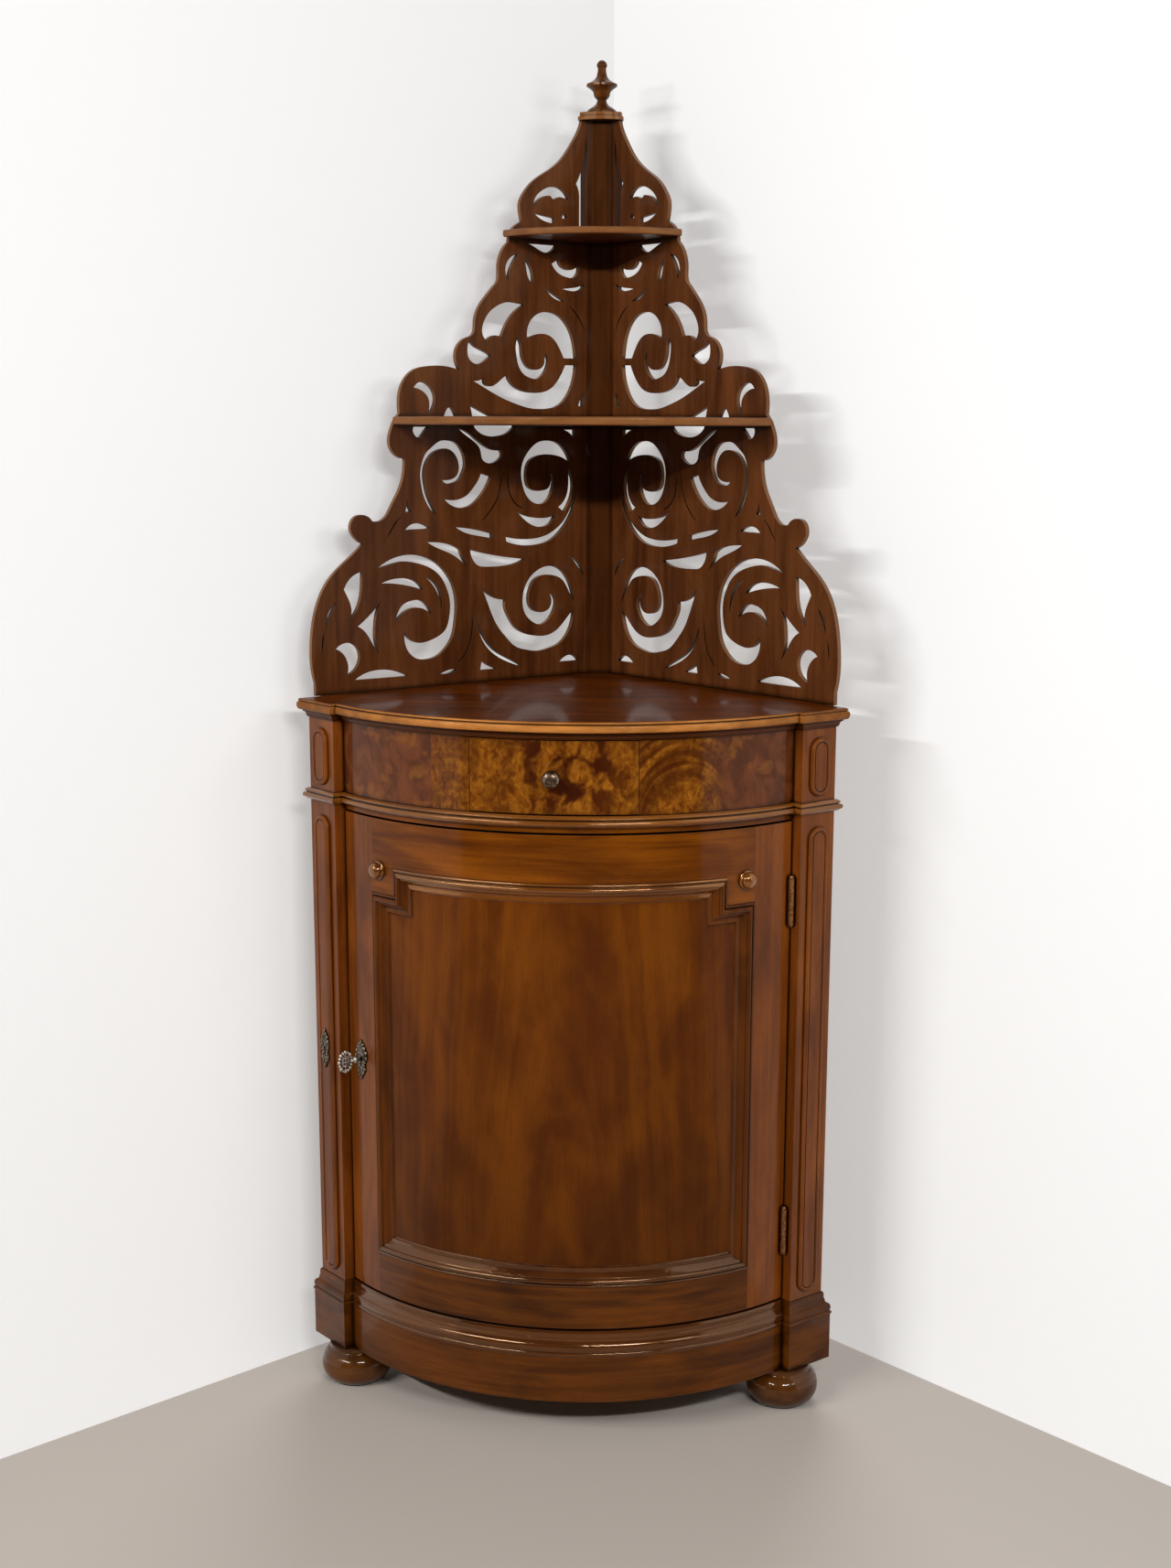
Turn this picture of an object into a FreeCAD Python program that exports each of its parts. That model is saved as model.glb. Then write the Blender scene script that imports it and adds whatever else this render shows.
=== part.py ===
import FreeCAD, Part
import math
import os

# Bow-fronted walnut corner cabinet: a drawer over one bowed door, between canted pilasters,
# and above it a stepped stand of two pierced panels, a corner post, two shelves and a finial.
#
# Millimetres. Front is -Y and up is +Z; the origin is under the middle of the whole object.
# The two walls of the room leave the rear corner at 45 degrees, so most places are given by
# "along", the distance out from that corner beside a wall, and "off", the distance from the wall.

V = FreeCAD.Vector
ROOT2 = math.sqrt(2.0)
UP = V(0, 0, 1)

# Bowed front
BOW_SETBACK = 180.0      # bow's centre in front of the wall corner
BOW_RADIUS = 404.0       # faces of the door, the drawer and the frieze
BOW_DEGREES = 58.0       # swept each way before a piece is trimmed at the pilasters
BOW_SIDE = BOW_SETBACK / ROOT2    # bow's centre, along and off each wall

# Heights of the base, upwards
FOOT_HEIGHT = 58.0
PLINTH_FACE = 66.0
PLINTH_CAP = 36.0
DOOR_SPACE = 694.5
WAIST_HEIGHT = 23.0
WAIST_REVEAL = 6.5       # rail left bare under the waist moulding
FRIEZE_HEIGHT = 100.0
CORNICE_HEIGHT = 9.5
TOP_THICKNESS = 15.5

PLINTH_TOP = FOOT_HEIGHT + PLINTH_FACE
PILASTER_BASE = PLINTH_TOP + PLINTH_CAP
WAIST_BASE = PILASTER_BASE + DOOR_SPACE
WAIST_TOP = WAIST_BASE + WAIST_HEIGHT
CORNICE_BASE = WAIST_TOP + FRIEZE_HEIGHT
TOP_BASE = CORNICE_BASE + CORNICE_HEIGHT
TOP_SURFACE = TOP_BASE + TOP_THICKNESS

# Pilasters, square to the walls
PILASTER_OUTER = 29.8    # off
PILASTER_WIDTH = 62.0
PILASTER_DEPTH = 44.0
PILASTER_STAND = 16.3    # face in front of the bow, where the bow meets the inner side
PILASTER_INNER = PILASTER_OUTER + PILASTER_WIDTH
BOW_MEETS = BOW_SIDE + math.sqrt(BOW_RADIUS ** 2 - (PILASTER_INNER - BOW_SIDE) ** 2)
PILASTER_FACE = BOW_MEETS + PILASTER_STAND    # along
PILASTER_REAR = PILASTER_FACE - PILASTER_DEPTH
TABLET_HALF = 17.5       # half width of the raised tablets on a pilaster
TABLET_RISE = 4.4
FRIEZE_TABLET_FOOT = 7.5
FRIEZE_TABLET_HEAD = 12.5
SHAFT_TABLET_FOOT = 9.5
SHAFT_TABLET_HEAD = 12.0

# Projections of the mouldings from the bow, the pilaster's face, its wall side and its inner side
TOP_BOW_OUT = 18.5
TOP_FACE_OUT = 11.2
TOP_OUTER_OUT = 14.4
TOP_INNER_OUT = 11.0
WAIST_BOW_OUT = 10.0
WAIST_FACE_OUT = 8.0
WAIST_OUTER_OUT = 9.0
WAIST_INNER_OUT = 8.0
PLINTH_BOW_OUT = 7.5
PLINTH_FACE_OUT = 7.0
PLINTH_OUTER_OUT = 14.4
PLINTH_INNER_OUT = 6.0
TOP_OUT = {"bow": TOP_BOW_OUT, "face": TOP_FACE_OUT, "outer": TOP_OUTER_OUT, "inner": TOP_INNER_OUT}
WAIST_OUT = {"bow": WAIST_BOW_OUT, "face": WAIST_FACE_OUT, "outer": WAIST_OUTER_OUT, "inner": WAIST_INNER_OUT}
PLINTH_OUT = {"bow": PLINTH_BOW_OUT, "face": PLINTH_FACE_OUT, "outer": PLINTH_OUTER_OUT, "inner": PLINTH_INNER_OUT}

# Boards of the carcass
BACK_THICKNESS = 16.0
BACK_LAP = 20.0          # how far a back board runs over the side of its pilaster
STILE_SIZE = 40.0
BOTTOM_THICKNESS = 18.0
RAIL_DEPTH = 40.0
PLINTH_THICKNESS = 24.0
FRIEZE_THICKNESS = 18.0
DUST_THICKNESS = 12.0
SHELF_THICKNESS = 16.0
SHELF_HEIGHT = 330.0     # inner shelf above the bottom board
SHELF_SETBACK = 45.0     # from the door's inner face
BATTEN_SIZE = 18.0
BATTEN_SETBACK = 20.0    # end of a batten behind the shelf's front
SEAT = 0.3               # gap left beside a piece that only slides or rests

# Bun feet
FOOT_RADIUS = 51.0
FOOT_SETBACK = 26.0      # front foot's axis behind the pilaster's face
FOOT_INSET = 49.2        # front foot's axis in from the pilaster's wall side
FRONT_FOOT_ALONG = PILASTER_FACE - FOOT_SETBACK
FRONT_FOOT_OFF = PILASTER_OUTER + FOOT_INSET
REAR_FOOT_OFF = 53.0

# Door
DOOR_THICKNESS = 24.0
DOOR_GAP = 2.0           # between the door's edges and the pilasters
DOOR_HEAD = 3.0
DOOR_SILL = 3.0
STILE_DEGREES = 40.4     # inner edges of the stiles, each side of the middle
BOTTOM_RAIL = 60.5
TOP_RAIL = 65.0
NOTCH_DEGREES = 34.0     # inner edges of the notched top corners
NOTCH_HEIGHT = 38.0
PANEL_SUNK = 8.0
PANEL_THICKNESS = 10.0
PANEL_TONGUE = 6.0
MOULD_WIDTH = 28.0
BOSS_DEGREES = 38.4
BOSS_RISE = 6.0          # boss centre below the top rail's lower edge
BOSS_RADIUS = 13.0

DOOR_BASE = PILASTER_BASE + DOOR_SILL
DOOR_TOP = WAIST_BASE - DOOR_HEAD
WINDOW_BASE = DOOR_BASE + BOTTOM_RAIL
WINDOW_TOP = DOOR_TOP - TOP_RAIL
DOOR_EDGE = PILASTER_INNER + DOOR_GAP

# Hinges on the right
HINGE_HEIGHT = 66.0
HINGE_FROM_BASE = 102.5  # lower hinge's middle above the door's foot
HINGE_FROM_TOP = 110.0
BARREL_RADIUS = 4.5
PIN_RADIUS = 2.5
PIN_CLEARANCE = 0.05
LEAF_THICKNESS = 0.9
LEAF_WIDTH = 22.0
KNUCKLE_GAP = 0.4

# Lock on the left
KEY_OFF = 126.0
KEY_HEIGHT = 338.5       # above the door's foot
SHANK_RADIUS = 2.7
KEYHOLE_RADIUS = 3.4
KEYHOLE_SLOT = 3.6
BIT_REACH = 10.0
BIT_THICKNESS = 2.5
BIT_LENGTH = 6.0
BOW_STAND = 27.0         # middle of the key's bow out from the door's face
BOW_WIDTH = 30.0
BOW_HEIGHT = 37.0
BOW_THICKNESS = 4.5
CASE_HEIGHT = 58.0
CASE_WIDTH = 54.0
CASE_DEPTH = 13.0
CASE_WALL = 1.5
BOLT_HEIGHT = 14.0
BOLT_THICKNESS = 7.0
BOLT_LENGTH = 46.0
BOLT_THROW = 8.7
BOLT_DROP = 4.0          # bolt's upper edge below the key's axis
STRIKE_THICKNESS = 0.8
ESCUTCHEON_THICKNESS = 1.6
PILASTER_PLATE_HEIGHT = 345.5

# Drawer
DRAWER_HALF = 112.0
DRAWER_GAP = 0.8
DRAWER_HEAD = 1.5
DRAWER_BACK = 190.0      # rear of the drawer in front of the wall corner
DRAWER_FRONT_THICKNESS = 36.0    # at its middle
DRAWER_FRONT_REAR = BOW_SETBACK + BOW_RADIUS - DRAWER_FRONT_THICKNESS
DRAWER_SIDE = 12.0
DRAWER_INSET = 7.0       # sides inside the ends of the front
DRAWER_SIDE_HEIGHT = 70.0
DRAWER_BOTTOM = 6.0
DRAWER_BOTTOM_RISE = 9.0
DRAWER_TONGUE = 4.0
RUNNER_LIP = 10.0
RUNNER_RISE = 16.0
KNOB_RADIUS = 12.0
KNOB_OUT = 23.0

# Stand above the base
FRET_THICKNESS = 6.5
FRET_FRONT = 15.0        # faces of the pierced panels, off the walls
POST_SIDE = 44.0
POST_HOLLOW = 5.4
POST_BAND = 13.0
MIDDLE_SHELF = 372.5     # undersides of the shelves above the base
UPPER_SHELF = 637.5
STAND_SHELF_THICKNESS = 12.0
UPPER_SHELF_THICKNESS = 10.0
FRET_SETBACK = 21.0      # panel's foot behind the pilaster's face
FRET_REACH = PILASTER_FACE - FRET_SETBACK
MIDDLE_REACH = 390.0     # ends of the shelves along the walls
UPPER_REACH = 197.0
MIDDLE_NOSE = 4.5        # shelf's nose in front of the line between the panels' feet
UPPER_BULGE = 50.0
CAP_BASE = 810.0
CAP_THICKNESS = 11.0
CAP_REACH = 58.0
CAP_HALF = 33.0
FINIAL_OFF = 21.0
FINIAL_HEIGHT = 74.0
DOWEL_RADIUS = 2.0
DOWEL_LENGTH = 24.0
DOWEL_DEPTH = 10.0       # part of a dowel that stands in the base's top
SCREW_RADIUS = 1.7
SCREW_HEAD = 3.4
SCREW_HEAD_DEPTH = 2.4
SCREW_LENGTH = 38.0
FIT = 0.05               # radial clearance of dowels and screws

FRET_BACK = FRET_FRONT - FRET_THICKNESS
FRET_LINE = 2.2          # width of a line cut into the panels' faces
FRET_LINE_DEPTH = 1.8
FRET_HEIGHTS = (
    TOP_SURFACE,
    TOP_SURFACE + MIDDLE_SHELF + STAND_SHELF_THICKNESS / 2,
    TOP_SURFACE + UPPER_SHELF + UPPER_SHELF_THICKNESS / 2,
    TOP_SURFACE + CAP_BASE,
)
FRET_REACHES = (FRET_REACH, MIDDLE_REACH, UPPER_REACH, UPPER_REACH)

# The fretwork is drawn by distance from the wall corner and height above the floor. The drawing
# follows the sizes above at four heights: the base, the middles of the two shelves and the cap.
DRAWN_HEIGHTS = (1007.0, 1387.5, 1651.5, 1819.0)
DRAWN_REACHES = (525.0, 390.0, 197.0, 197.0)
DRAWN_POST = 44.0

DEPTH = BOW_SETBACK + BOW_RADIUS + max(TOP_OUT["bow"], KNOB_OUT)
CORNER_Y = DEPTH / 2
BOW_Y = CORNER_Y - BOW_SETBACK
REACH = 1200.0           # longer than any piece, for trimming shapes


# Places and simple solids

def plan(side, along, off, z=0.0):
    """Point by its distances along and off the wall on one side, -1 left or +1 right."""
    return V(side * (along - off) / ROOT2, CORNER_Y - (along + off) / ROOT2, z)


def bow(radius, degrees, z=0.0):
    """Point on a circle about the bow's centre, by its angle from straight ahead."""
    angle = math.radians(degrees)
    return V(radius * math.sin(angle), BOW_Y - radius * math.cos(angle), z)


def bow_along(off, radius):
    """Where a circle about the bow's centre stands at one distance off the wall."""
    return BOW_SIDE + math.sqrt(radius ** 2 - (off - BOW_SIDE) ** 2)


def run(points):
    """Straight edge through two points, or a smooth curve through more."""
    if len(points) == 2:
        return Part.LineSegment(points[0], points[1]).toShape()
    curve = Part.BSplineCurve()
    curve.interpolate(points)
    return curve.toShape()


def outline(runs):
    """Face inside runs of points; each run goes on from the end of the run before it."""
    first = runs[0][0]
    if len(runs) == 1:
        curve = Part.BSplineCurve()
        curve.interpolate(runs[0], PeriodicFlag=True)
        return Part.Face(Part.Wire([curve.toShape()]))
    edges = []
    here = None
    for index, points in enumerate(runs):
        chain = list(points) if here is None else [here] + list(points)
        if index == len(runs) - 1:
            chain.append(first)
        edges.append(run(chain))
        here = chain[-1]
    return Part.Face(Part.Wire(edges))


def polygon(points):
    return Part.Face(Part.makePolygon(list(points) + [points[0]]))


def slab(corners, z0, z1):
    """Upright prism over corners given at any height."""
    return polygon([V(p.x, p.y, z0) for p in corners]).extrude(V(0, 0, z1 - z0))


def block(side, along0, along1, off0, off1, z0, z1):
    """Box square to one wall."""
    corners = [(along0, off0), (along1, off0), (along1, off1), (along0, off1)]
    return slab([plan(side, a, o) for a, o in corners], z0, z1)


def box(x0, x1, front0, front1, z0, z1):
    """Box square to the cabinet; front distances count from the wall corner."""
    return Part.makeBox(x1 - x0, front1 - front0, z1 - z0, V(x0, CORNER_Y - front1, z0))


def wedge(off, z0, z1):
    """Everything between the walls that stands at least one distance off both."""
    return slab([plan(1, off, off), plan(1, REACH, off), plan(-1, REACH, off)], z0, z1)


def revolve_bow(face, degrees):
    return face.revolve(V(0, BOW_Y, 0), UP, degrees)


def sector(r0, r1, d0, d1, z0, z1):
    """Bowed block between two radii, two angles and two heights."""
    corners = [(r0, z0), (r1, z0), (r1, z1), (r0, z1)]
    return revolve_bow(polygon([bow(r, d0, z) for r, z in corners]), d1 - d0)


def disc(radius, z0, z1):
    return Part.makeCylinder(radius, z1 - z0, V(0, BOW_Y, z0))


def turned(profile, base, direction):
    """Turned piece; the profile's runs are radius and height, from axis to axis."""
    face = outline([[V(r, 0, h) for r, h in points] for points in profile])
    solid = face.revolve(V(0, 0, 0), UP, 360)
    solid.Placement = FreeCAD.Placement(base, FreeCAD.Rotation(UP, direction))
    return solid


def rod(radius, start, direction, length):
    return Part.makeCylinder(radius, length, start, direction)


def joined(shapes):
    solid = shapes[0].multiFuse(shapes[1:])
    return solid.removeSplitter()


def less(solid, tools):
    return solid.cut(Part.makeCompound(list(tools)))


def group(shapes):
    return Part.makeCompound(list(shapes))


def mirrored(shape):
    return shape.mirror(V(0, 0, 0), V(1, 0, 0))


# Mouldings. A profile is runs of (share of the projection, height), from the bottom up.

def profile_edges(profile, place):
    edges = []
    here = None
    for points in profile:
        chain = [place(share, z) for share, z in points]
        if here is not None and here.distanceToPoint(chain[0]) > 0.001:
            edges.append(run([here, chain[0]]))
        edges.append(run(chain))
        here = chain[-1]
    return edges


def ends(edges):
    return edges[0].firstVertex(True).Point, edges[-1].lastVertex(True).Point


def bow_band(profile, inner, out):
    """Moulding along the bow, from an inner radius to its profile."""
    edges = profile_edges(profile, lambda share, z: bow(BOW_RADIUS + out["bow"] * share, -BOW_DEGREES, z))
    foot, head = ends(edges)
    back = [bow(inner, -BOW_DEGREES, head.z), bow(inner, -BOW_DEGREES, foot.z)]
    closing = [run([head, back[0]]), run(back), run([back[1], foot])]
    return revolve_bow(Part.Face(Part.Wire(edges + closing)), 2 * BOW_DEGREES)


def block_band(side, profile, rear, out):
    """Moulding round the three free sides of a pilaster, filled in to a rear line along the wall."""
    if side > 0:
        return mirrored(block_band(-1, profile, rear, out))
    wide = PILASTER_WIDTH + 2 * out["outer"] + 2 * out["inner"]
    start = PILASTER_OUTER - 2 * out["outer"]
    front = profile_edges(profile, lambda share, z: plan(side, PILASTER_FACE + out["face"] * share, start, z))
    foot, head = ends(front)
    back = [plan(side, rear, start, head.z), plan(side, rear, start, foot.z)]
    face = Part.Face(Part.Wire(front + [run([head, back[0]]), run(back), run([back[1], foot])]))
    across = plan(side, 0, wide) - plan(side, 0, 0)
    faced = face.extrude(across)
    inner = profile_edges(profile, lambda share, z: plan(side, rear, PILASTER_INNER + out["inner"] * share, z))
    outer = profile_edges(profile, lambda share, z: plan(side, rear, PILASTER_OUTER - out["outer"] * share, z))
    inner_foot, inner_head = ends(inner)
    outer_foot, outer_head = ends(outer)
    closing = [run([inner_head, outer_head]), run([outer_foot, inner_foot])]
    rim = Part.Wire(Part.__sortEdges__(inner + outer + closing))
    length = plan(side, PILASTER_DEPTH * 3, 0) - plan(side, 0, 0)
    return faced.common(Part.Face(rim).extrude(length))


def top_profile():
    low = TOP_BASE
    high = TOP_SURFACE
    return [
        [(0.72, low), (0.90, low + 1.6), (1.0, low + 5.6), (0.97, low + 9.6), (0.88, low + 11.2)],
        [(0.80, low + 11.2), (0.80, low + 12)],
        [(0.80, low + 12), (0.87, low + 13), (0.84, low + 14.4), (0.68, high)],
    ]


def cornice_profile():
    low = CORNICE_BASE
    return [
        [(0.16, low), (0.16, low + 1.8)],
        [(0.24, low + 1.8), (0.27, low + 4.6), (0.42, low + 7.4)],
        [(0.52, low + 7.4), (0.52, TOP_BASE)],
    ]


def waist_profile():
    low = WAIST_BASE + WAIST_REVEAL
    return [
        [(0.12, low), (0.32, low + 0.8), (0.58, low + 2.2), (0.66, low + 3.4)],
        [(0.78, low + 3.4), (0.96, low + 4.8), (1.0, low + 6.8), (0.92, low + 9), (0.66, low + 10.2)],
        [(0.50, low + 10.2), (0.50, low + 11)],
        [(0.50, low + 11), (0.66, low + 11.8), (0.70, low + 13.4), (0.58, low + 14.8), (0.30, WAIST_TOP)],
    ]


def plinth_profile(low):
    cap = PLINTH_TOP
    rise = PLINTH_CAP

    def at(share, level):
        return (share, cap + level * rise)

    face = [] if low == cap else [[(0.92, low), (0.92, cap)]]
    return face + [
        [at(0.88, 0), at(1.0, 0.03), at(1.06, 0.085), at(1.0, 0.14), at(0.88, 0.17)],
        [at(0.82, 0.17), at(0.82, 0.20)],
        [at(0.92, 0.20), at(0.95, 0.30), at(0.87, 0.42), at(0.66, 0.50)],
        [at(0.56, 0.50), at(0.44, 0.57), at(0.36, 0.70)],
        [at(0.28, 0.72), at(0.28, 0.90)],
        [at(0.28, 0.90), at(0.16, 1.0)],
    ]


# Base: boards, posts and mouldings

BACK_REAR = PILASTER_OUTER - BACK_THICKNESS
BACK_END = PILASTER_REAR + BACK_LAP


def back_board(side):
    corners = [
        plan(side, BACK_REAR, BACK_REAR),
        plan(side, BACK_END, BACK_REAR),
        plan(side, BACK_END, PILASTER_OUTER),
        plan(side, PILASTER_OUTER, PILASTER_OUTER),
    ]
    return slab(corners, FOOT_HEIGHT, TOP_BASE)


def rear_stile():
    edge = PILASTER_OUTER + STILE_SIZE
    corners = [
        plan(1, PILASTER_OUTER, PILASTER_OUTER),
        plan(1, edge, PILASTER_OUTER),
        plan(1, edge, edge - STILE_SIZE / 2),
        plan(-1, edge, edge - STILE_SIZE / 2),
        plan(-1, edge, PILASTER_OUTER),
    ]
    return slab(corners, FOOT_HEIGHT, TOP_BASE)


# Edge of a tablet: distance in from its outline, and height over the pilaster's face
TABLET_EDGE = [
    [(0, -1.0), (0, 1.0)],
    [(0, 1.0), (1.2, 4.2), (3.6, 5.6), (5.6, 4.6), (6.2, 3.2)],
    [(7.0, 3.2), (7.0, TABLET_RISE)],
]


def tablet(side, z0, z1):
    """Round-ended tablet on a pilaster's face, with a rounded rim and a quirk round its field."""
    middle = PILASTER_OUTER + PILASTER_WIDTH / 2
    low = z0 + TABLET_HALF
    high = z1 - TABLET_HALF
    axis = plan(side, side, 0) - plan(side, 0, 0)

    def half_section(hand, z):
        def place(inset, rise):
            return plan(side, PILASTER_FACE + rise, middle + hand * (TABLET_HALF - inset), z)

        edges = profile_edges(TABLET_EDGE, place)
        foot_point, head_point = ends(edges)
        crown = place(TABLET_HALF, TABLET_RISE)
        bed = place(TABLET_HALF, TABLET_EDGE[0][0][1])
        closing = [run([head_point, crown]), run([crown, bed]), run([bed, foot_point])]
        return Part.Face(Part.Wire(edges + closing))

    return joined([
        half_section(1, low).extrude(V(0, 0, high - low)),
        half_section(-1, low).extrude(V(0, 0, high - low)),
        half_section(1, low).revolve(plan(side, 0, middle, low), axis, 180),
        half_section(-1, high).revolve(plan(side, 0, middle, high), axis, 180),
    ])


def pilaster(side):
    post = block(side, PILASTER_REAR, PILASTER_FACE, PILASTER_OUTER, PILASTER_INNER, PILASTER_BASE, TOP_BASE)
    tablets = [
        tablet(side, WAIST_TOP + FRIEZE_TABLET_FOOT, CORNICE_BASE - FRIEZE_TABLET_HEAD),
        tablet(side, PILASTER_BASE + SHAFT_TABLET_FOOT, WAIST_BASE - SHAFT_TABLET_HEAD),
    ]
    whole = joined([post] + tablets)
    if side > 0:
        return whole
    return whole.cut(bolt_space(PILASTER_INNER - BOLT_THROW - SEAT, PILASTER_INNER))


PLINTH_REAR = PILASTER_REAR - 12.0


def plinth_block(side):
    return block_band(side, plinth_profile(FOOT_HEIGHT), PLINTH_REAR, PLINTH_OUT).cut(back_board(side))


def plinth_front():
    outer = BOW_RADIUS + PLINTH_OUT["bow"] * 0.92
    front = sector(outer - PLINTH_THICKNESS, outer, -BOW_DEGREES, BOW_DEGREES, FOOT_HEIGHT, PLINTH_TOP)
    clear = wedge(PILASTER_OUTER, FOOT_HEIGHT, PLINTH_TOP)
    return less(front.common(clear), [plinth_block(-1), plinth_block(1)])


def plinth_moulding():
    band = bow_band(plinth_profile(PLINTH_TOP), BOW_RADIUS - DOOR_THICKNESS, PLINTH_OUT)
    clear = wedge(PILASTER_OUTER, PLINTH_TOP, PILASTER_BASE)
    return less(band.common(clear), [plinth_block(-1), plinth_block(1)])


def posts(z0, z1):
    """Both pilasters without their tablets, for trimming what stands between them."""
    return [block(s, PILASTER_REAR, PILASTER_FACE, PILASTER_OUTER, PILASTER_INNER, z0, z1) for s in (-1, 1)]


def between_posts(piece, z0, z1):
    """Part of a bowed piece that lies between the inner sides of the pilasters."""
    return piece.common(wedge(PILASTER_INNER, z0, z1))


def waist_rail():
    rail = sector(BOW_RADIUS - RAIL_DEPTH, BOW_RADIUS, -BOW_DEGREES, BOW_DEGREES, WAIST_BASE, WAIST_TOP)
    return between_posts(rail, WAIST_BASE, WAIST_TOP)


def waist_moulding():
    band = between_posts(bow_band(waist_profile(), BOW_RADIUS, WAIST_OUT), WAIST_BASE, WAIST_TOP)
    breaks = [block_band(s, waist_profile(), PILASTER_REAR + BACK_LAP, WAIST_OUT) for s in (-1, 1)]
    inside = disc(BOW_RADIUS, WAIST_BASE, WAIST_TOP).common(wedge(PILASTER_INNER, WAIST_BASE, WAIST_TOP))
    return less(joined([band] + breaks), posts(WAIST_BASE, WAIST_TOP) + [inside])


def cornice_moulding():
    rear = BOW_RADIUS - RAIL_DEPTH
    band = between_posts(bow_band(cornice_profile(), rear, TOP_OUT), CORNICE_BASE, TOP_BASE)
    breaks = [block_band(s, cornice_profile(), PILASTER_REAR + BACK_LAP, TOP_OUT) for s in (-1, 1)]
    return less(joined([band] + breaks), posts(CORNICE_BASE, TOP_BASE))


def top_board():
    field = bow_band(top_profile(), 0.0, TOP_OUT)
    rear = disc(BOW_RADIUS, TOP_BASE, TOP_SURFACE)
    breaks = [block_band(s, top_profile(), PILASTER_REAR, TOP_OUT) for s in (-1, 1)]
    board = joined([rear.fuse(field).common(wedge(0.0, TOP_BASE, TOP_SURFACE))] + breaks)
    return less(board, [dowel_hole(s, a) for s in (-1, 1) for a in DOWEL_PLACES])


def frieze_panel(side):
    z0 = WAIST_TOP
    z1 = CORNICE_BASE
    strip = sector(BOW_RADIUS - FRIEZE_THICKNESS, BOW_RADIUS, 0, side * BOW_DEGREES, z0, z1)
    strip = between_posts(strip, z0, z1)
    drawer = box(-DRAWER_HALF, DRAWER_HALF, DRAWER_BACK, DEPTH, z0, z1)
    return strip.cut(drawer)


def floor_plan(radius, z0, z1):
    """Board that fills the base inside the back boards, out to a bow."""
    whole = disc(radius, z0, z1).common(wedge(PILASTER_OUTER, z0, z1))
    return less(whole, posts(z0, z1) + [rear_stile()])


def bottom_board():
    top = PILASTER_BASE
    board = floor_plan(BOW_RADIUS - DOOR_THICKNESS, top - BOTTOM_THICKNESS, top)
    return less(board, [plinth_block(-1), plinth_block(1)])


INNER_SHELF_BASE = PILASTER_BASE + SHELF_HEIGHT
INNER_SHELF_RADIUS = BOW_RADIUS - DOOR_THICKNESS - SHELF_SETBACK


def inner_shelf():
    return floor_plan(INNER_SHELF_RADIUS, INNER_SHELF_BASE, INNER_SHELF_BASE + SHELF_THICKNESS)


def shelf_batten(side):
    start = PILASTER_OUTER + STILE_SIZE + BATTEN_SIZE
    end = bow_along(PILASTER_OUTER, INNER_SHELF_RADIUS) - BATTEN_SETBACK
    top = INNER_SHELF_BASE
    inner = PILASTER_OUTER + BATTEN_SIZE
    return block(side, start, end, PILASTER_OUTER, inner, top - BATTEN_SIZE, top)


RUNNER_TOP = WAIST_TOP + SEAT
DUST_BASE = RUNNER_TOP - DUST_THICKNESS * 2


def dust_board():
    return floor_plan(BOW_RADIUS - RAIL_DEPTH, DUST_BASE, DUST_BASE + DUST_THICKNESS)


DRAWER_SIDE_X = DRAWER_HALF - DRAWER_GAP - DRAWER_INSET
DRAWER_Z = RUNNER_TOP + SEAT


def drawer_runner(side):
    """Runner under one side of the drawer, with a lip that guides it."""
    inner = DRAWER_SIDE_X - DRAWER_SIDE
    guide = DRAWER_SIDE_X + SEAT
    outer = guide + RUNNER_LIP
    low = DUST_BASE + DUST_THICKNESS
    front = BOW_SETBACK + math.sqrt((BOW_RADIUS - RAIL_DEPTH) ** 2 - outer ** 2)
    section = [
        (inner, low), (outer, low), (outer, RUNNER_TOP + RUNNER_RISE),
        (guide, RUNNER_TOP + RUNNER_RISE), (guide, RUNNER_TOP), (inner, RUNNER_TOP),
    ]
    face = polygon([V(side * x, CORNER_Y - DRAWER_BACK, z) for x, z in section])
    return face.extrude(V(0, DRAWER_BACK - front, 0))


def foot(centre):
    """Bun foot with a short neck."""
    r = FOOT_RADIUS
    h = FOOT_HEIGHT
    bun = [(0.80 * r, 0.08 * h), (0.96 * r, 0.26 * h), (r, 0.48 * h), (0.95 * r, 0.68 * h), (0.81 * r, 0.84 * h)]
    neck = [(0.76 * r, 0.88 * h), (0.745 * r, 0.93 * h), (0.76 * r, h)]
    profile = [[(0, 0), (0.56 * r, 0)], bun, neck, [(0, h)], []]
    return turned(profile, centre, UP)


# Door: frame, panel and planted mouldings

def door_trim(piece):
    return piece.common(wedge(DOOR_EDGE, DOOR_BASE, DOOR_TOP))


def door_panel():
    outer = BOW_RADIUS - PANEL_SUNK
    half = STILE_DEGREES + math.degrees(PANEL_TONGUE / BOW_RADIUS)
    return sector(outer - PANEL_THICKNESS, outer, -half, half, WINDOW_BASE - PANEL_TONGUE, WINDOW_TOP + PANEL_TONGUE)


def door_stile(side):
    inner = BOW_RADIUS - DOOR_THICKNESS
    strip = sector(inner, BOW_RADIUS, side * STILE_DEGREES, side * BOW_DEGREES, DOOR_BASE, DOOR_TOP)
    return less(door_trim(strip), [door_panel()])


def lock_stile():
    """Left stile, with the keyhole, the recess for the lock and the bolt's way out."""
    return less(door_stile(-1), [keyhole(DOOR_THICKNESS), lock_recess(), bolt_space(DOOR_EDGE, DOOR_EDGE + CASE_WIDTH)])


def door_rail(z0, z1):
    inner = BOW_RADIUS - DOOR_THICKNESS
    return sector(inner, BOW_RADIUS, -STILE_DEGREES, STILE_DEGREES, z0, z1)


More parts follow.
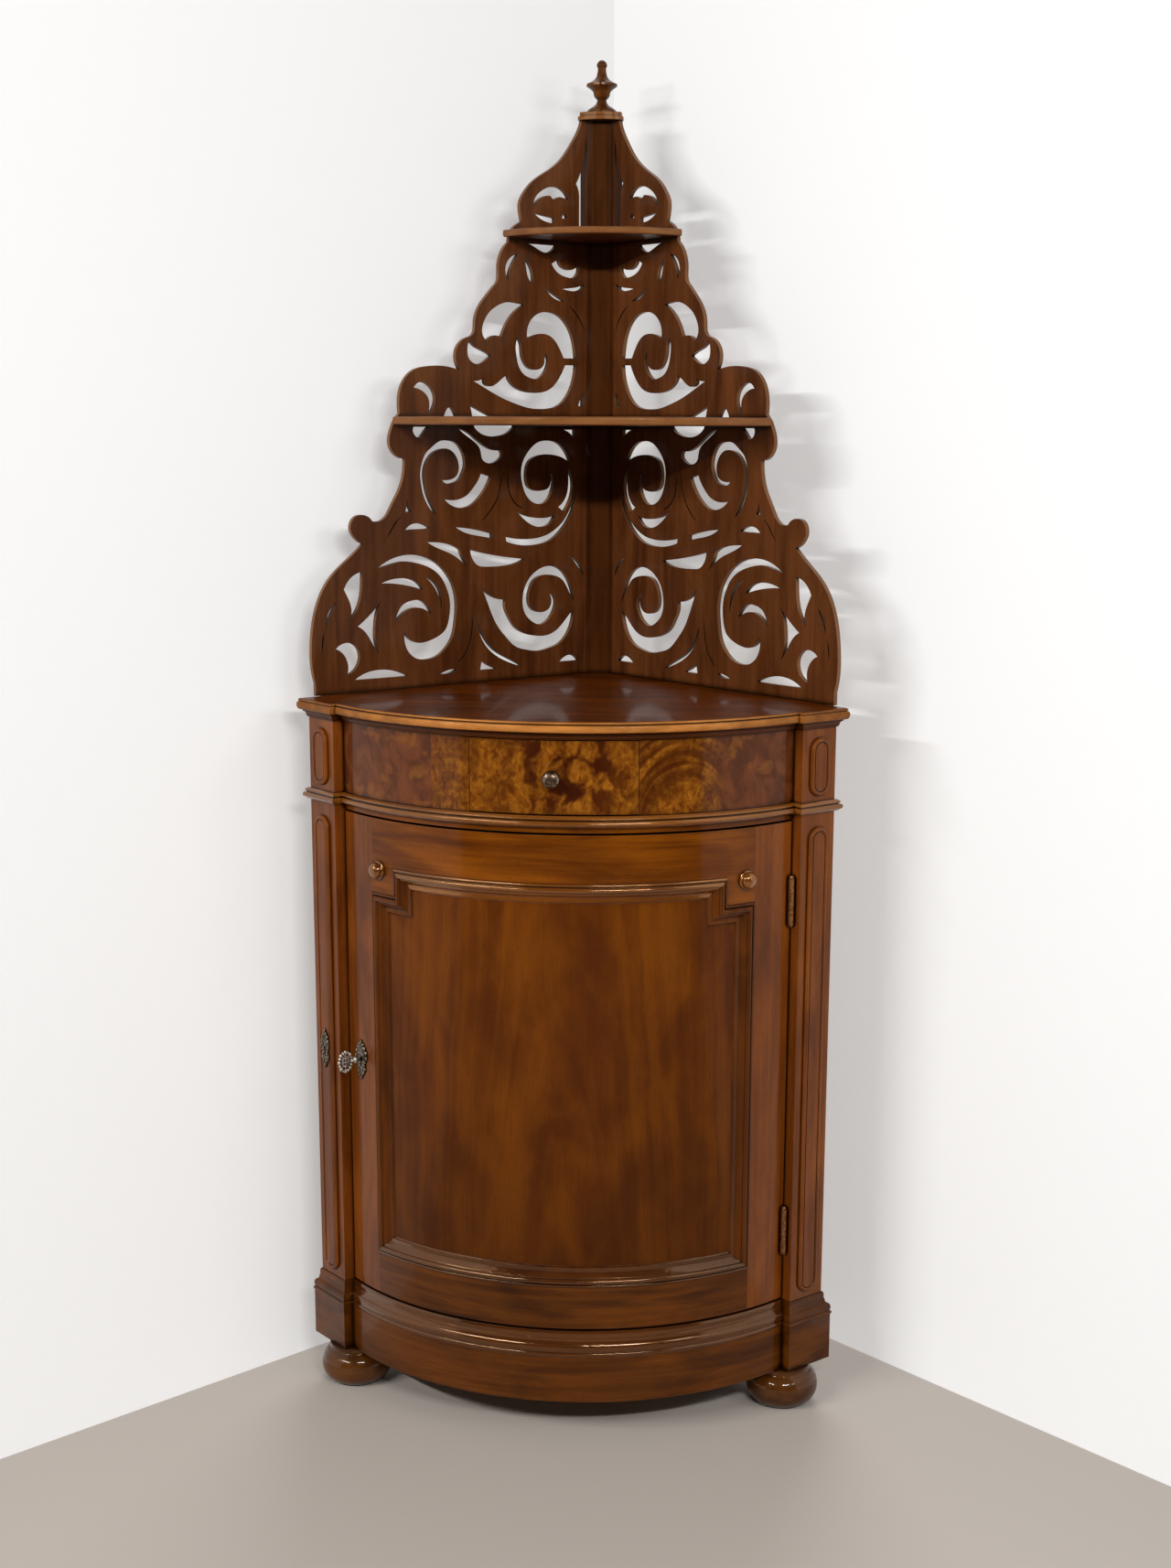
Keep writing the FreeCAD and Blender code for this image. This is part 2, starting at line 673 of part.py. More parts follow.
def top_rail():
    """Upper rail, with the two ears that notch the corners of the panel."""
    z0 = WINDOW_TOP - NOTCH_HEIGHT
    front = BOW_RADIUS - PANEL_SUNK
    ears = [sector(front, BOW_RADIUS, s * NOTCH_DEGREES, s * STILE_DEGREES, z0, WINDOW_TOP) for s in (-1, 1)]
    return joined([less(door_rail(WINDOW_TOP, DOOR_TOP), [door_panel()])] + ears)


def bottom_rail():
    return less(door_rail(DOOR_BASE, WINDOW_BASE), [door_panel()])


# Section of the planted moulding: distance in from its outer line, and height over the door's face
MOULD_SECTION = [
    [(0, 0.5), (0.8, 1.8), (2.4, 2.2), (3.6, 1.4)],
    [(4.2, 0.6), (4.8, 0.6)],
    [(4.8, 0.6), (5.6, 3.4), (8.2, 4.8), (11.0, 3.8), (12.4, 1.2)],
    [(13.4, 1.2), (16.0, -0.8), (18.4, -3.6), (20.4, -5.6)],
    [(21.2, -5.6), (25.6, -5.2)],
    [(25.6, -5.2), (26.6, -7.0), (MOULD_WIDTH, -PANEL_SUNK)],
]
MOULD_CORNERS = [
    (-STILE_DEGREES, WINDOW_BASE),
    (STILE_DEGREES, WINDOW_BASE),
    (STILE_DEGREES, WINDOW_TOP - NOTCH_HEIGHT),
    (NOTCH_DEGREES, WINDOW_TOP - NOTCH_HEIGHT),
    (NOTCH_DEGREES, WINDOW_TOP),
    (-NOTCH_DEGREES, WINDOW_TOP),
    (-NOTCH_DEGREES, WINDOW_TOP - NOTCH_HEIGHT),
    (-STILE_DEGREES, WINDOW_TOP - NOTCH_HEIGHT),
]


def mould_face(place):
    edges = profile_edges(MOULD_SECTION, place)
    foot_point, head_point = ends(edges)
    bed = [place(MOULD_WIDTH * share, -PANEL_SUNK) for share in (1.0, 0.5, 0.0)]
    closing = [run([head_point] + bed[1:]), run([bed[2], foot_point])]
    return Part.Face(Part.Wire(edges + closing))


def step_between(start, end):
    """Direction from one corner of the moulding to the next: right, up, left or down."""
    across = end[0] - start[0]
    rise = end[1] - start[1]
    if abs(across) > 0.001:
        return (math.copysign(1.0, across), 0.0)
    return (0.0, math.copysign(1.0, rise))


def mitre(corner, before, after, keep):
    """Block past the mitre at one corner, on the far side from the length that is kept."""
    degrees, z = corner
    across = bow(1.0, degrees + 90.0) - bow(0.0, 0.0)
    outward = bow(1.0, degrees) - bow(0.0, 0.0)
    slope = (before[0] + after[0], before[1] + after[1])
    normal = across * slope[0] + UP * slope[1]
    normal.normalize()
    away = normal * keep
    size = 3 * MOULD_WIDTH
    side = outward.cross(away)
    base = bow(BOW_RADIUS, degrees, z) - outward * size - side * size
    face = polygon([base, base + outward * 2 * size, base + outward * 2 * size + side * 2 * size, base + side * 2 * size])
    return face.extrude(away * 2 * size)


def moulding_length(index):
    """One length of the panel's moulding, mitred at both ends."""
    count = len(MOULD_CORNERS)
    start = MOULD_CORNERS[index]
    end = MOULD_CORNERS[(index + 1) % count]
    way = step_between(start, end)
    before = step_between(MOULD_CORNERS[index - 1], start)
    after = step_between(end, MOULD_CORNERS[(index + 2) % count])
    spare = MOULD_WIDTH + 2
    if way[0]:
        turn = math.degrees(spare / BOW_RADIUS) * way[0]
        first = start[0] - turn
        face = mould_face(lambda d, h: bow(BOW_RADIUS + h, first, start[1] + way[0] * d))
        length = revolve_bow(face, end[0] + turn - first)
    else:
        lean = math.degrees(1.0 / BOW_RADIUS) * way[1]
        first = start[1] - spare * way[1]
        face = mould_face(lambda d, h: bow(BOW_RADIUS + h, start[0] - lean * d, first))
        length = face.extrude(V(0, 0, end[1] + spare * way[1] - first))
    return less(length, [mitre(start, before, way, -1), mitre(end, way, after, 1)])


def boss(side):
    base = bow(BOW_RADIUS, side * BOSS_DEGREES, WINDOW_TOP - BOSS_RISE)
    r = BOSS_RADIUS
    profile = [
        [(0, 0), (r, 0)],
        [(r, 2.0)],
        [(0.90 * r, 3.0), (0.84 * r, 4.5)],
        [(0.86 * r, 7.5), (0.66 * r, 11.5), (0.30 * r, 13.6), (0.16 * r, 14.0)],
        [(0, 14.6)],
        [],
    ]
    return turned(profile, base, base - V(0, BOW_Y, base.z))


# Hinges, pinned on the right pilaster

HINGE_OFF = PILASTER_INNER + BARREL_RADIUS + LEAF_THICKNESS / 1.5
HINGE_ALONG = bow_along(HINGE_OFF, BOW_RADIUS) + BARREL_RADIUS + SEAT
HINGE_PLACES = [DOOR_BASE + HINGE_FROM_BASE, DOOR_TOP - HINGE_FROM_TOP]


def knuckle(z0, z1, off0, off1):
    """Ring about the pin, with the strip that joins it to a leaf."""
    centre = plan(1, HINGE_ALONG, HINGE_OFF, z0)
    ring = rod(BARREL_RADIUS, centre, UP, z1 - z0)
    tab = block(1, HINGE_ALONG - BARREL_RADIUS - 2, HINGE_ALONG, off0, off1, z0, z1)
    bore = rod(PIN_RADIUS + PIN_CLEARANCE, centre, UP, z1 - z0)
    return ring.fuse(tab).cut(bore)


def hinge_leaf(middle, off0, off1, bands):
    low = middle - HINGE_HEIGHT / 2
    rear = HINGE_ALONG - BARREL_RADIUS - 1
    plate = block(1, rear - LEAF_WIDTH, rear, off0, off1, low, low + HINGE_HEIGHT)
    height = HINGE_HEIGHT / 3
    rings = [
        knuckle(low + height * n + KNUCKLE_GAP / 2, low + height * (n + 1) - KNUCKLE_GAP / 2, off0, off1)
        for n in bands
    ]
    return joined([plate] + rings)


def frame_leaf(middle):
    return hinge_leaf(middle, PILASTER_INNER, PILASTER_INNER + LEAF_THICKNESS, (0, 2))


def door_leaf(middle):
    return hinge_leaf(middle, DOOR_EDGE - LEAF_THICKNESS, DOOR_EDGE, (1,))


def hinge_pin(middle):
    low = middle - HINGE_HEIGHT / 2
    shaft = rod(PIN_RADIUS, plan(1, HINGE_ALONG, HINGE_OFF, low), UP, HINGE_HEIGHT)
    caps = [
        Part.makeSphere(BARREL_RADIUS * 0.8, plan(1, HINGE_ALONG, HINGE_OFF, low + HINGE_HEIGHT)),
        Part.makeSphere(BARREL_RADIUS * 0.8, plan(1, HINGE_ALONG, HINGE_OFF, low)),
    ]
    body = rod(BARREL_RADIUS, plan(1, HINGE_ALONG, HINGE_OFF, low), UP, HINGE_HEIGHT)
    return joined([shaft] + [cap.cut(body) for cap in caps])


# Lock, key and their plates, square to the left wall

KEY_Z = DOOR_BASE + KEY_HEIGHT
STILE_FACE = bow_along(KEY_OFF, BOW_RADIUS)
STILE_BACK = bow_along(KEY_OFF, BOW_RADIUS - DOOR_THICKNESS)
CASE_REAR = STILE_BACK - CASE_WALL
CASE_FRONT = CASE_REAR + CASE_DEPTH
BOLT_REAR = CASE_REAR + CASE_WALL + SEAT
CASE_EDGE = DOOR_EDGE + CASE_WALL
OUTWARD = plan(-1, 1, 0) - plan(-1, 0, 0)


def upright(along, points):
    """Face in a plane square to the wall, from (off, height over the key) runs."""
    return outline([[plan(-1, along, KEY_OFF + o, KEY_Z + h) for o, h in part] for part in points])


def keyhole(depth, face=STILE_FACE, off=KEY_OFF, z=KEY_Z):
    """Keyhole cutter that goes in from a face."""
    centre = plan(-1, face + 1, off, z)
    eye = rod(KEYHOLE_RADIUS, centre, OUTWARD * -1, depth + 3)
    half = KEYHOLE_SLOT / 2
    slot = block(-1, face - depth - 2, face + 1, off - half, off + half, z - BIT_REACH - 1, z)
    return eye.fuse(slot)


def lock_recess():
    return block(-1, CASE_REAR - 2, CASE_FRONT, CASE_EDGE, CASE_EDGE + CASE_WIDTH, KEY_Z - CASE_HEIGHT / 2, KEY_Z + CASE_HEIGHT / 2)


def bolt_space(off0, off1):
    """Way for the bolt, a little larger than its section."""
    high = KEY_Z - BOLT_DROP + SEAT
    return block(-1, BOLT_REAR - SEAT, BOLT_REAR + BOLT_THICKNESS + SEAT, off0, off1, high - BOLT_HEIGHT - 2 * SEAT, high)


def lock_case():
    """Lock's case, let into the back of the stile and open towards the wood."""
    w = CASE_WALL
    case = lock_recess().common(
        block(-1, CASE_REAR, CASE_FRONT, 0, REACH, KEY_Z - CASE_HEIGHT, KEY_Z + CASE_HEIGHT))
    hollow = block(
        -1, CASE_REAR + w, CASE_FRONT, CASE_EDGE + w, CASE_EDGE + CASE_WIDTH - w,
        KEY_Z - CASE_HEIGHT / 2 + w, KEY_Z + CASE_HEIGHT / 2 - w)
    tip = rod(SHANK_RADIUS + FIT, plan(-1, CASE_REAR - 1, KEY_OFF, KEY_Z), OUTWARD, w + 2)
    return less(case, [hollow, tip, bolt_space(CASE_EDGE - 1, CASE_EDGE + w + 1)])


def lock_bolt():
    """Bolt with the notch that the key's bit drives; it stands withdrawn."""
    high = KEY_Z - BOLT_DROP
    end = DOOR_EDGE + SEAT
    bar = block(-1, BOLT_REAR, BOLT_REAR + BOLT_THICKNESS, end, end + BOLT_LENGTH, high - BOLT_HEIGHT, high)
    lead = BIT_THICKNESS + 1.0
    trail = BIT_THICKNESS * 2 + 1.0
    notch = block(
        -1, BOLT_REAR - 1, BOLT_REAR + BOLT_THICKNESS + 1, KEY_OFF - lead, KEY_OFF + trail,
        KEY_Z - BIT_REACH - 1, high + 1)
    return bar.cut(notch)


def key():
    """Key in its lock: a bit, a collared shank and a pierced oval bow."""
    tip = CASE_REAR + SEAT
    bow_middle = STILE_FACE + BOW_STAND
    shank_end = bow_middle - BOW_WIDTH / 2 + 3
    shank = rod(SHANK_RADIUS, plan(-1, tip, KEY_OFF, KEY_Z), OUTWARD, shank_end - tip)
    half = BIT_THICKNESS / 2
    bit_start = BOLT_REAR + SEAT
    bit = block(-1, bit_start, bit_start + BIT_LENGTH, KEY_OFF - half, KEY_OFF + half, KEY_Z - BIT_REACH, KEY_Z)
    collar = rod(SHANK_RADIUS + 2.3, plan(-1, shank_end - 5, KEY_OFF, KEY_Z), OUTWARD, 3.0)

    def oval(wide, high, middle_along, middle_z):
        points = []
        for step in range(8):
            angle = math.pi * step / 4
            along = middle_along + wide * math.cos(angle)
            z = middle_z + high * math.sin(angle)
            points.append(plan(-1, along, KEY_OFF - BOW_THICKNESS / 2, z))
        face = outline([points])
        return face.extrude(plan(-1, 0, BOW_THICKNESS) - plan(-1, 0, 0))

    plate = oval(BOW_WIDTH / 2, BOW_HEIGHT / 2, bow_middle, KEY_Z)
    holes = []
    for turn in range(6):
        angle = math.pi * turn / 3
        along = bow_middle + BOW_WIDTH * 0.28 * math.cos(angle)
        z = KEY_Z + BOW_HEIGHT * 0.29 * math.sin(angle)
        holes.append(oval(BOW_WIDTH * 0.105, BOW_HEIGHT * 0.105, along, z))
    return joined([shank, bit, collar, less(plate, holes)])


def escutcheon(along, off, z):
    """Lobed keyhole plate; half its outline is drawn, from the lower tip to the upper one."""
    half = [
        [(0, -27), (3.5, -24), (4.5, -19)],
        [(8.5, -17), (9.0, -10)],
        [(6.8, -4), (9.6, 4), (10, 11)],
        [(6.5, 15), (6.6, 21)],
        [(3.0, 22.5), (0, 27)],
    ]

    def at(sign, point):
        return plan(-1, along, off + sign * point[0], z + point[1])

    edges = []
    for index, part in enumerate(half):
        begin = [] if index == 0 else [half[index - 1][-1]]
        edges.append(run([at(1, p) for p in begin + part]))
        edges.append(run([at(-1, p) for p in begin + part]))
    plate = Part.Face(Part.Wire(Part.__sortEdges__(edges)))
    return plate.extrude(OUTWARD * ESCUTCHEON_THICKNESS)


def door_escutcheon():
    face = max(bow_along(KEY_OFF - 10, BOW_RADIUS), STILE_FACE)
    return escutcheon(face, KEY_OFF, KEY_Z).cut(keyhole(DOOR_THICKNESS, face + ESCUTCHEON_THICKNESS))


def pilaster_escutcheon():
    middle = PILASTER_OUTER + PILASTER_WIDTH / 2
    z = PILASTER_BASE + PILASTER_PLATE_HEIGHT
    face = PILASTER_FACE + TABLET_RISE
    plate = escutcheon(face, middle, z)
    return plate.cut(keyhole(ESCUTCHEON_THICKNESS, face + ESCUTCHEON_THICKNESS, middle, z))


def strike_plate():
    plate = block(
        -1, BOLT_REAR - 4, BOLT_REAR + BOLT_THICKNESS + 6, PILASTER_INNER, PILASTER_INNER + STRIKE_THICKNESS,
        KEY_Z - BOLT_DROP - BOLT_HEIGHT - 14, KEY_Z - BOLT_DROP + 14)
    return plate.cut(bolt_space(PILASTER_INNER - 1, DOOR_EDGE))


# Drawer

DRAWER_FRONT_Z = WAIST_TOP + DRAWER_HEAD
DRAWER_BOTTOM_Z = DRAWER_Z + DRAWER_BOTTOM_RISE


def drawer_front():
    half = DRAWER_HALF - DRAWER_GAP
    blank = box(-half, half, DRAWER_FRONT_REAR, DEPTH, DRAWER_FRONT_Z, CORNICE_BASE - DRAWER_HEAD)
    front = blank.common(disc(BOW_RADIUS, DRAWER_FRONT_Z, CORNICE_BASE - DRAWER_HEAD))
    return less(front, [drawer_bottom(), knob_hole()])


def drawer_bottom():
    half = DRAWER_SIDE_X - DRAWER_SIDE + DRAWER_TONGUE
    front = DRAWER_FRONT_REAR + DRAWER_TONGUE
    return box(-half, half, DRAWER_BACK, front, DRAWER_BOTTOM_Z, DRAWER_BOTTOM_Z + DRAWER_BOTTOM)


def drawer_side(side):
    x0 = DRAWER_SIDE_X - DRAWER_SIDE
    board = box(x0, DRAWER_SIDE_X, DRAWER_BACK, DRAWER_FRONT_REAR, DRAWER_Z, DRAWER_Z + DRAWER_SIDE_HEIGHT)
    if side < 0:
        board = mirrored(board)
    return board.cut(drawer_bottom())


def drawer_back():
    half = DRAWER_SIDE_X - DRAWER_SIDE
    low = DRAWER_BOTTOM_Z + DRAWER_BOTTOM
    high = DRAWER_Z + DRAWER_SIDE_HEIGHT - DRAWER_BOTTOM
    return box(-half, half, DRAWER_BACK, DRAWER_BACK + DRAWER_SIDE, low, high)


KNOB_Z = (WAIST_TOP + CORNICE_BASE) / 2
KNOB_STEM = 4.0


def knob_hole():
    return rod(KNOB_STEM + FIT, bow(BOW_RADIUS - 14, 0, KNOB_Z), V(0, -1, 0), 20)


def drawer_knob():
    """Turned metal knob on a stem let into the drawer's front."""
    r = KNOB_RADIUS
    spigot = 14.0
    h = KNOB_OUT
    profile = [
        [(0, 0), (KNOB_STEM, 0)],
        [(KNOB_STEM, spigot)],
        [(0.66 * r, spigot)],
        [(0.66 * r, spigot + 0.03 * h)],
        [(0.60 * r, spigot + 0.09 * h), (0.40 * r, spigot + 0.17 * h), (0.36 * r, spigot + 0.28 * h), (0.50 * r, spigot + 0.39 * h)],
        [(0.86 * r, spigot + 0.48 * h), (r, spigot + 0.65 * h), (0.84 * r, spigot + 0.85 * h), (0.40 * r, spigot + 0.975 * h), (0, spigot + h)],
        [],
    ]
    return turned(profile, bow(BOW_RADIUS - spigot, 0, KNOB_Z), V(0, -1, 0))


# Stand: pierced panels, post, shelves, cap and finial

def fret_place(along, height):
    """Place along the wall and height of a drawn point, stretched to the sizes of its tier."""
    tier = max(n for n in range(3) if height >= DRAWN_HEIGHTS[n])
    share = (height - DRAWN_HEIGHTS[tier]) / (DRAWN_HEIGHTS[tier + 1] - DRAWN_HEIGHTS[tier])
    low, high = [(FRET_REACHES[n] - POST_SIDE) / (DRAWN_REACHES[n] - DRAWN_POST) for n in (tier, tier + 1)]
    z = FRET_HEIGHTS[tier] + share * (FRET_HEIGHTS[tier + 1] - FRET_HEIGHTS[tier])
    return POST_SIDE + (along - DRAWN_POST) * (low + share * (high - low)), z


DOWEL_PLACES = [fret_place(along, DRAWN_HEIGHTS[0])[0] for along in (120.0, 350.0)]
SCREW_PLACES = [fret_place(along, DRAWN_HEIGHTS[n]) for n, along in ((1, 135.0), (1, 370.0), (2, 80.0), (2, 165.0))]


def dowel(side, along, spare=0.0):
    base = plan(side, along, FRET_BACK + FRET_THICKNESS / 2, TOP_SURFACE - DOWEL_DEPTH - spare)
    return rod(DOWEL_RADIUS + spare, base, UP, DOWEL_LENGTH + 2 * spare)


def dowel_hole(side, along):
    return dowel(side, along, FIT)


def shelf_screw(side, along, z, spare=0.0):
    """Countersunk screw from the wall side, through a panel into the back edge of a shelf."""
    start = plan(side, along, FRET_BACK, z)
    inward = plan(side, 0, 1) - plan(side, 0, 0)
    shaft = rod(SCREW_RADIUS + spare, start, inward, SCREW_LENGTH + spare)
    head = Part.makeCone(SCREW_HEAD + spare, SCREW_RADIUS + spare, SCREW_HEAD_DEPTH, start, inward)
    return shaft.fuse(head)


def shelf_screws(side, spare=0.0):
    return [shelf_screw(side, along, z, spare) for along, z in SCREW_PLACES]


def sawn(runs, depth=FRET_THICKNESS):
    """Solid that an outline of the drawing cuts into the front of the right panel."""

    def at(point):
        along, z = fret_place(*point)
        return plan(1, along, FRET_FRONT - depth, z)

    face = outline([[at(p) for p in points] for points in runs])
    return face.extrude(plan(1, 0, depth) - plan(1, 0, 0))


def slit(points, width, depth=FRET_THICKNESS):
    """Narrow cut along a curve, pointed at both ends."""
    left = []
    right = []
    for before, here, after in zip(points, points[1:], points[2:]):
        dx = after[0] - before[0]
        dz = after[1] - before[1]
        size = math.hypot(dx, dz)
        shift = (-dz / size * width / 2, dx / size * width / 2)
        left.append((here[0] + shift[0], here[1] + shift[1]))
        right.append((here[0] - shift[0], here[1] - shift[1]))
    return sawn([[points[0]] + left + [points[-1]], right[::-1]], depth)


# Outer edge of a panel, up from the base; each run ends at a nick between two lobes
FRET_EDGE = [
    [(525, 1007), (525, 1025)],
    [(530, 1050), (530, 1078), (520, 1132), (500, 1168), (468, 1196), (443, 1217)],
    [(456, 1225), (463, 1240), (456, 1254), (441, 1257), (427, 1248)],
    [(405, 1253), (392, 1272), (379, 1294), (372, 1317), (371, 1335)],
    [(388, 1341), (396, 1355), (394, 1372), (386, 1389)],
    [(378, 1398)],
    [(379, 1414), (376, 1431), (367, 1447), (353, 1458), (333, 1463), (300, 1464), (275, 1459)],
    [(281, 1472), (281, 1485), (274, 1497), (257, 1506)],
    [(248, 1515), (247, 1527), (243, 1542), (233, 1557), (213, 1578)],
    [(205, 1590), (205, 1605), (201, 1622), (187, 1640)],
    [(182, 1656), (163, 1670)],
    [(166, 1684), (166, 1696), (160, 1708), (140, 1729), (113, 1745), (90, 1762), (69, 1788), (55, 1812), (53, 1819)],
]
# Inner edge above the upper shelf, where the panel stands clear of the post, down to the shelf
FRET_INNER = [
    [(44, 1819)],
    [(44, 1800)],
    [(47, 1780), (51, 1760), (57, 1742), (64, 1729)],
    [(60, 1722), (58, 1710)],
    [(58, 1666)],
    [(44, 1666)],
    [(44, 1007)],
]
# Openings of the lowest tier
LOW_OPENINGS = [
    # inner scroll: its spiral and the crescent under it
    [[(67, 1118), (77, 1150), (93, 1168), (118, 1174), (141, 1166), (157, 1150), (164, 1129), (161, 1107), (148, 1093),
      (132, 1087), (116, 1093), (105, 1107), (102, 1121), (107, 1130), (114, 1132)],
     [(110, 1121), (114, 1111), (123, 1106), (137, 1106), (148, 1112), (153, 1125), (150, 1141), (141, 1155),
      (125, 1161), (107, 1160), (91, 1154), (79, 1139)]],
    [[(68, 1106), (77, 1073), (93, 1057), (114, 1050), (136, 1047), (157, 1050), (179, 1057), (195, 1071), (211, 1089),
      (223, 1111), (232, 1132), (241, 1152)],
     [(229, 1138), (214, 1130), (196, 1127)],
     [(196, 1114), (189, 1100), (179, 1086), (161, 1075), (139, 1070), (118, 1070), (100, 1077), (86, 1089)]],
    # corners along the base
    [[(58, 1028), (73, 1037), (95, 1028)], []],
    [[(214, 1025), (230, 1032), (240, 1039)], [(243, 1025)], []],
    [[(285, 1029), (298, 1029), (314, 1024)], [(298, 1024)]],
    [[(371, 1025), (395, 1034), (421, 1037), (445, 1033), (461, 1025)], []],
    # outer scroll: the ring, the slots inside it and its curl
    [[(419, 1182), (393, 1195), (368, 1199), (343, 1196), (321, 1187), (304, 1173), (289, 1150), (284, 1121), (286, 1100),
      (291, 1079), (304, 1061), (321, 1050), (337, 1047), (357, 1050), (370, 1061), (376, 1079), (375, 1089)],
     [(368, 1079), (354, 1072), (336, 1073), (318, 1079), (304, 1089), (298, 1104), (296, 1129), (302, 1150),
      (314, 1168), (332, 1180), (354, 1187), (375, 1190), (396, 1187)]],
    [[(343, 1148), (357, 1161), (379, 1166), (396, 1165), (414, 1160)], [(393, 1159), (368, 1155)]],
    [[(329, 1112), (336, 1125), (348, 1133), (364, 1133), (379, 1127), (387, 1116), (391, 1104)],
     [(380, 1114), (368, 1121), (354, 1123), (341, 1120)]],
    # leaf openings between the ring and the edge
    [[(412, 1137), (434, 1116), (454, 1101)], [(439, 1089), (430, 1075), (418, 1059)], [(425, 1079), (425, 1100), (421, 1121)]],
    [[(445, 1178), (464, 1170), (476, 1154)], [(468, 1139), (464, 1122), (471, 1109)], [(455, 1125), (449, 1139), (446, 1157)]],
    [[(491, 1071), (479, 1078), (464, 1077), (453, 1066), (453, 1050), (461, 1039), (473, 1034)], [(472, 1050), (478, 1062)]],
    # long leaves over both scrolls
    [[(161, 1186), (200, 1191), (243, 1199), (259, 1203)], [(255, 1189), (246, 1180), (229, 1177), (204, 1177), (179, 1180)]],
    [[(258, 1172), (268, 1184), (277, 1203)], [(290, 1210), (306, 1214), (334, 1216)], [(311, 1205), (293, 1198), (274, 1186)]],
    [[(220, 1225), (250, 1232), (284, 1236)], [(271, 1229), (246, 1223), (220, 1218)], []],
    [[(330, 1236), (343, 1242), (357, 1243), (372, 1234)], [(357, 1235), (343, 1235)]],
    [[(362, 1261), (366, 1269), (367, 1278)], [(371, 1259)], []],
]
LOW_SLITS = [
    ([(246, 1095), (236, 1070), (220, 1052), (200, 1040), (166, 1025)], 5.0),
    ([(340, 1167), (318, 1148), (311, 1118)], 5.0),
    ([(488, 1138), (500, 1121), (506, 1102)], 4.5),
    ([(48, 1155), (56, 1171), (73, 1186)], 4.5),
]
# Openings of the upper scrolls, under the middle shelf
SCROLL_OPENINGS = [
    [[(104, 1250), (114, 1237), (129, 1233), (146, 1236), (161, 1245), (175, 1257)], [(154, 1249), (132, 1246), (114, 1247)]],
    [[(63, 1280), (71, 1254), (82, 1237), (96, 1223), (114, 1212), (136, 1207), (154, 1206), (175, 1208), (194, 1213)],
     [(195, 1220)], [(171, 1216), (143, 1216), (121, 1220), (102, 1229), (86, 1242), (75, 1258)]],
    [[(74, 1326), (83, 1344), (97, 1356), (117, 1360), (136, 1357), (151, 1346), (161, 1333), (166, 1317), (164, 1297),
      (158, 1282), (147, 1271), (135, 1267), (122, 1269), (112, 1279), (107, 1292), (106, 1303), (112, 1312)],
     [(111, 1300), (115, 1291), (125, 1287), (142, 1287), (153, 1293), (157, 1306), (156, 1319), (150, 1331), (139, 1337),
      (122, 1340), (105, 1339), (89, 1335)]],
    [[(78, 1319), (70, 1300), (71, 1281), (77, 1267), (86, 1254)], [(97, 1262)], [(87, 1270), (81, 1280), (78, 1294)]],
    [[(307, 1304), (300, 1299), (289, 1300), (278, 1304), (271, 1314), (267, 1325), (268, 1336), (274, 1349), (283, 1357),
      (297, 1360), (311, 1359), (324, 1351), (335, 1342), (342, 1328), (345, 1314), (344, 1300), (340, 1283), (333, 1269),
      (318, 1254)],
     [(326, 1269), (332, 1281), (336, 1295), (338, 1308), (337, 1321), (331, 1334), (322, 1343), (310, 1348),
      (296, 1348), (285, 1341), (279, 1330), (278, 1319), (282, 1310), (291, 1305)]],
    [[(221, 1308), (230, 1292), (242, 1278), (258, 1267), (278, 1264), (292, 1268), (304, 1277)],
     [(286, 1275), (275, 1277), (264, 1282), (253, 1292), (244, 1303), (239, 1313)], []],
    [[(278, 1377), (250, 1364), (230, 1351), (204, 1346)], [(201, 1339), (211, 1330), (228, 1328), (236, 1333), (240, 1347), (253, 1360)]],
    [[(178, 1381), (189, 1372), (206, 1367), (222, 1366), (236, 1369), (250, 1379)], [(257, 1410)], [(244, 1404), (221, 1394)], []],
    [[(330, 1379), (340, 1369), (347, 1364), (354, 1368), (355, 1379)], []],
    [[(66, 1362), (66, 1376)], [(86, 1376)], [(75, 1371)]],
]
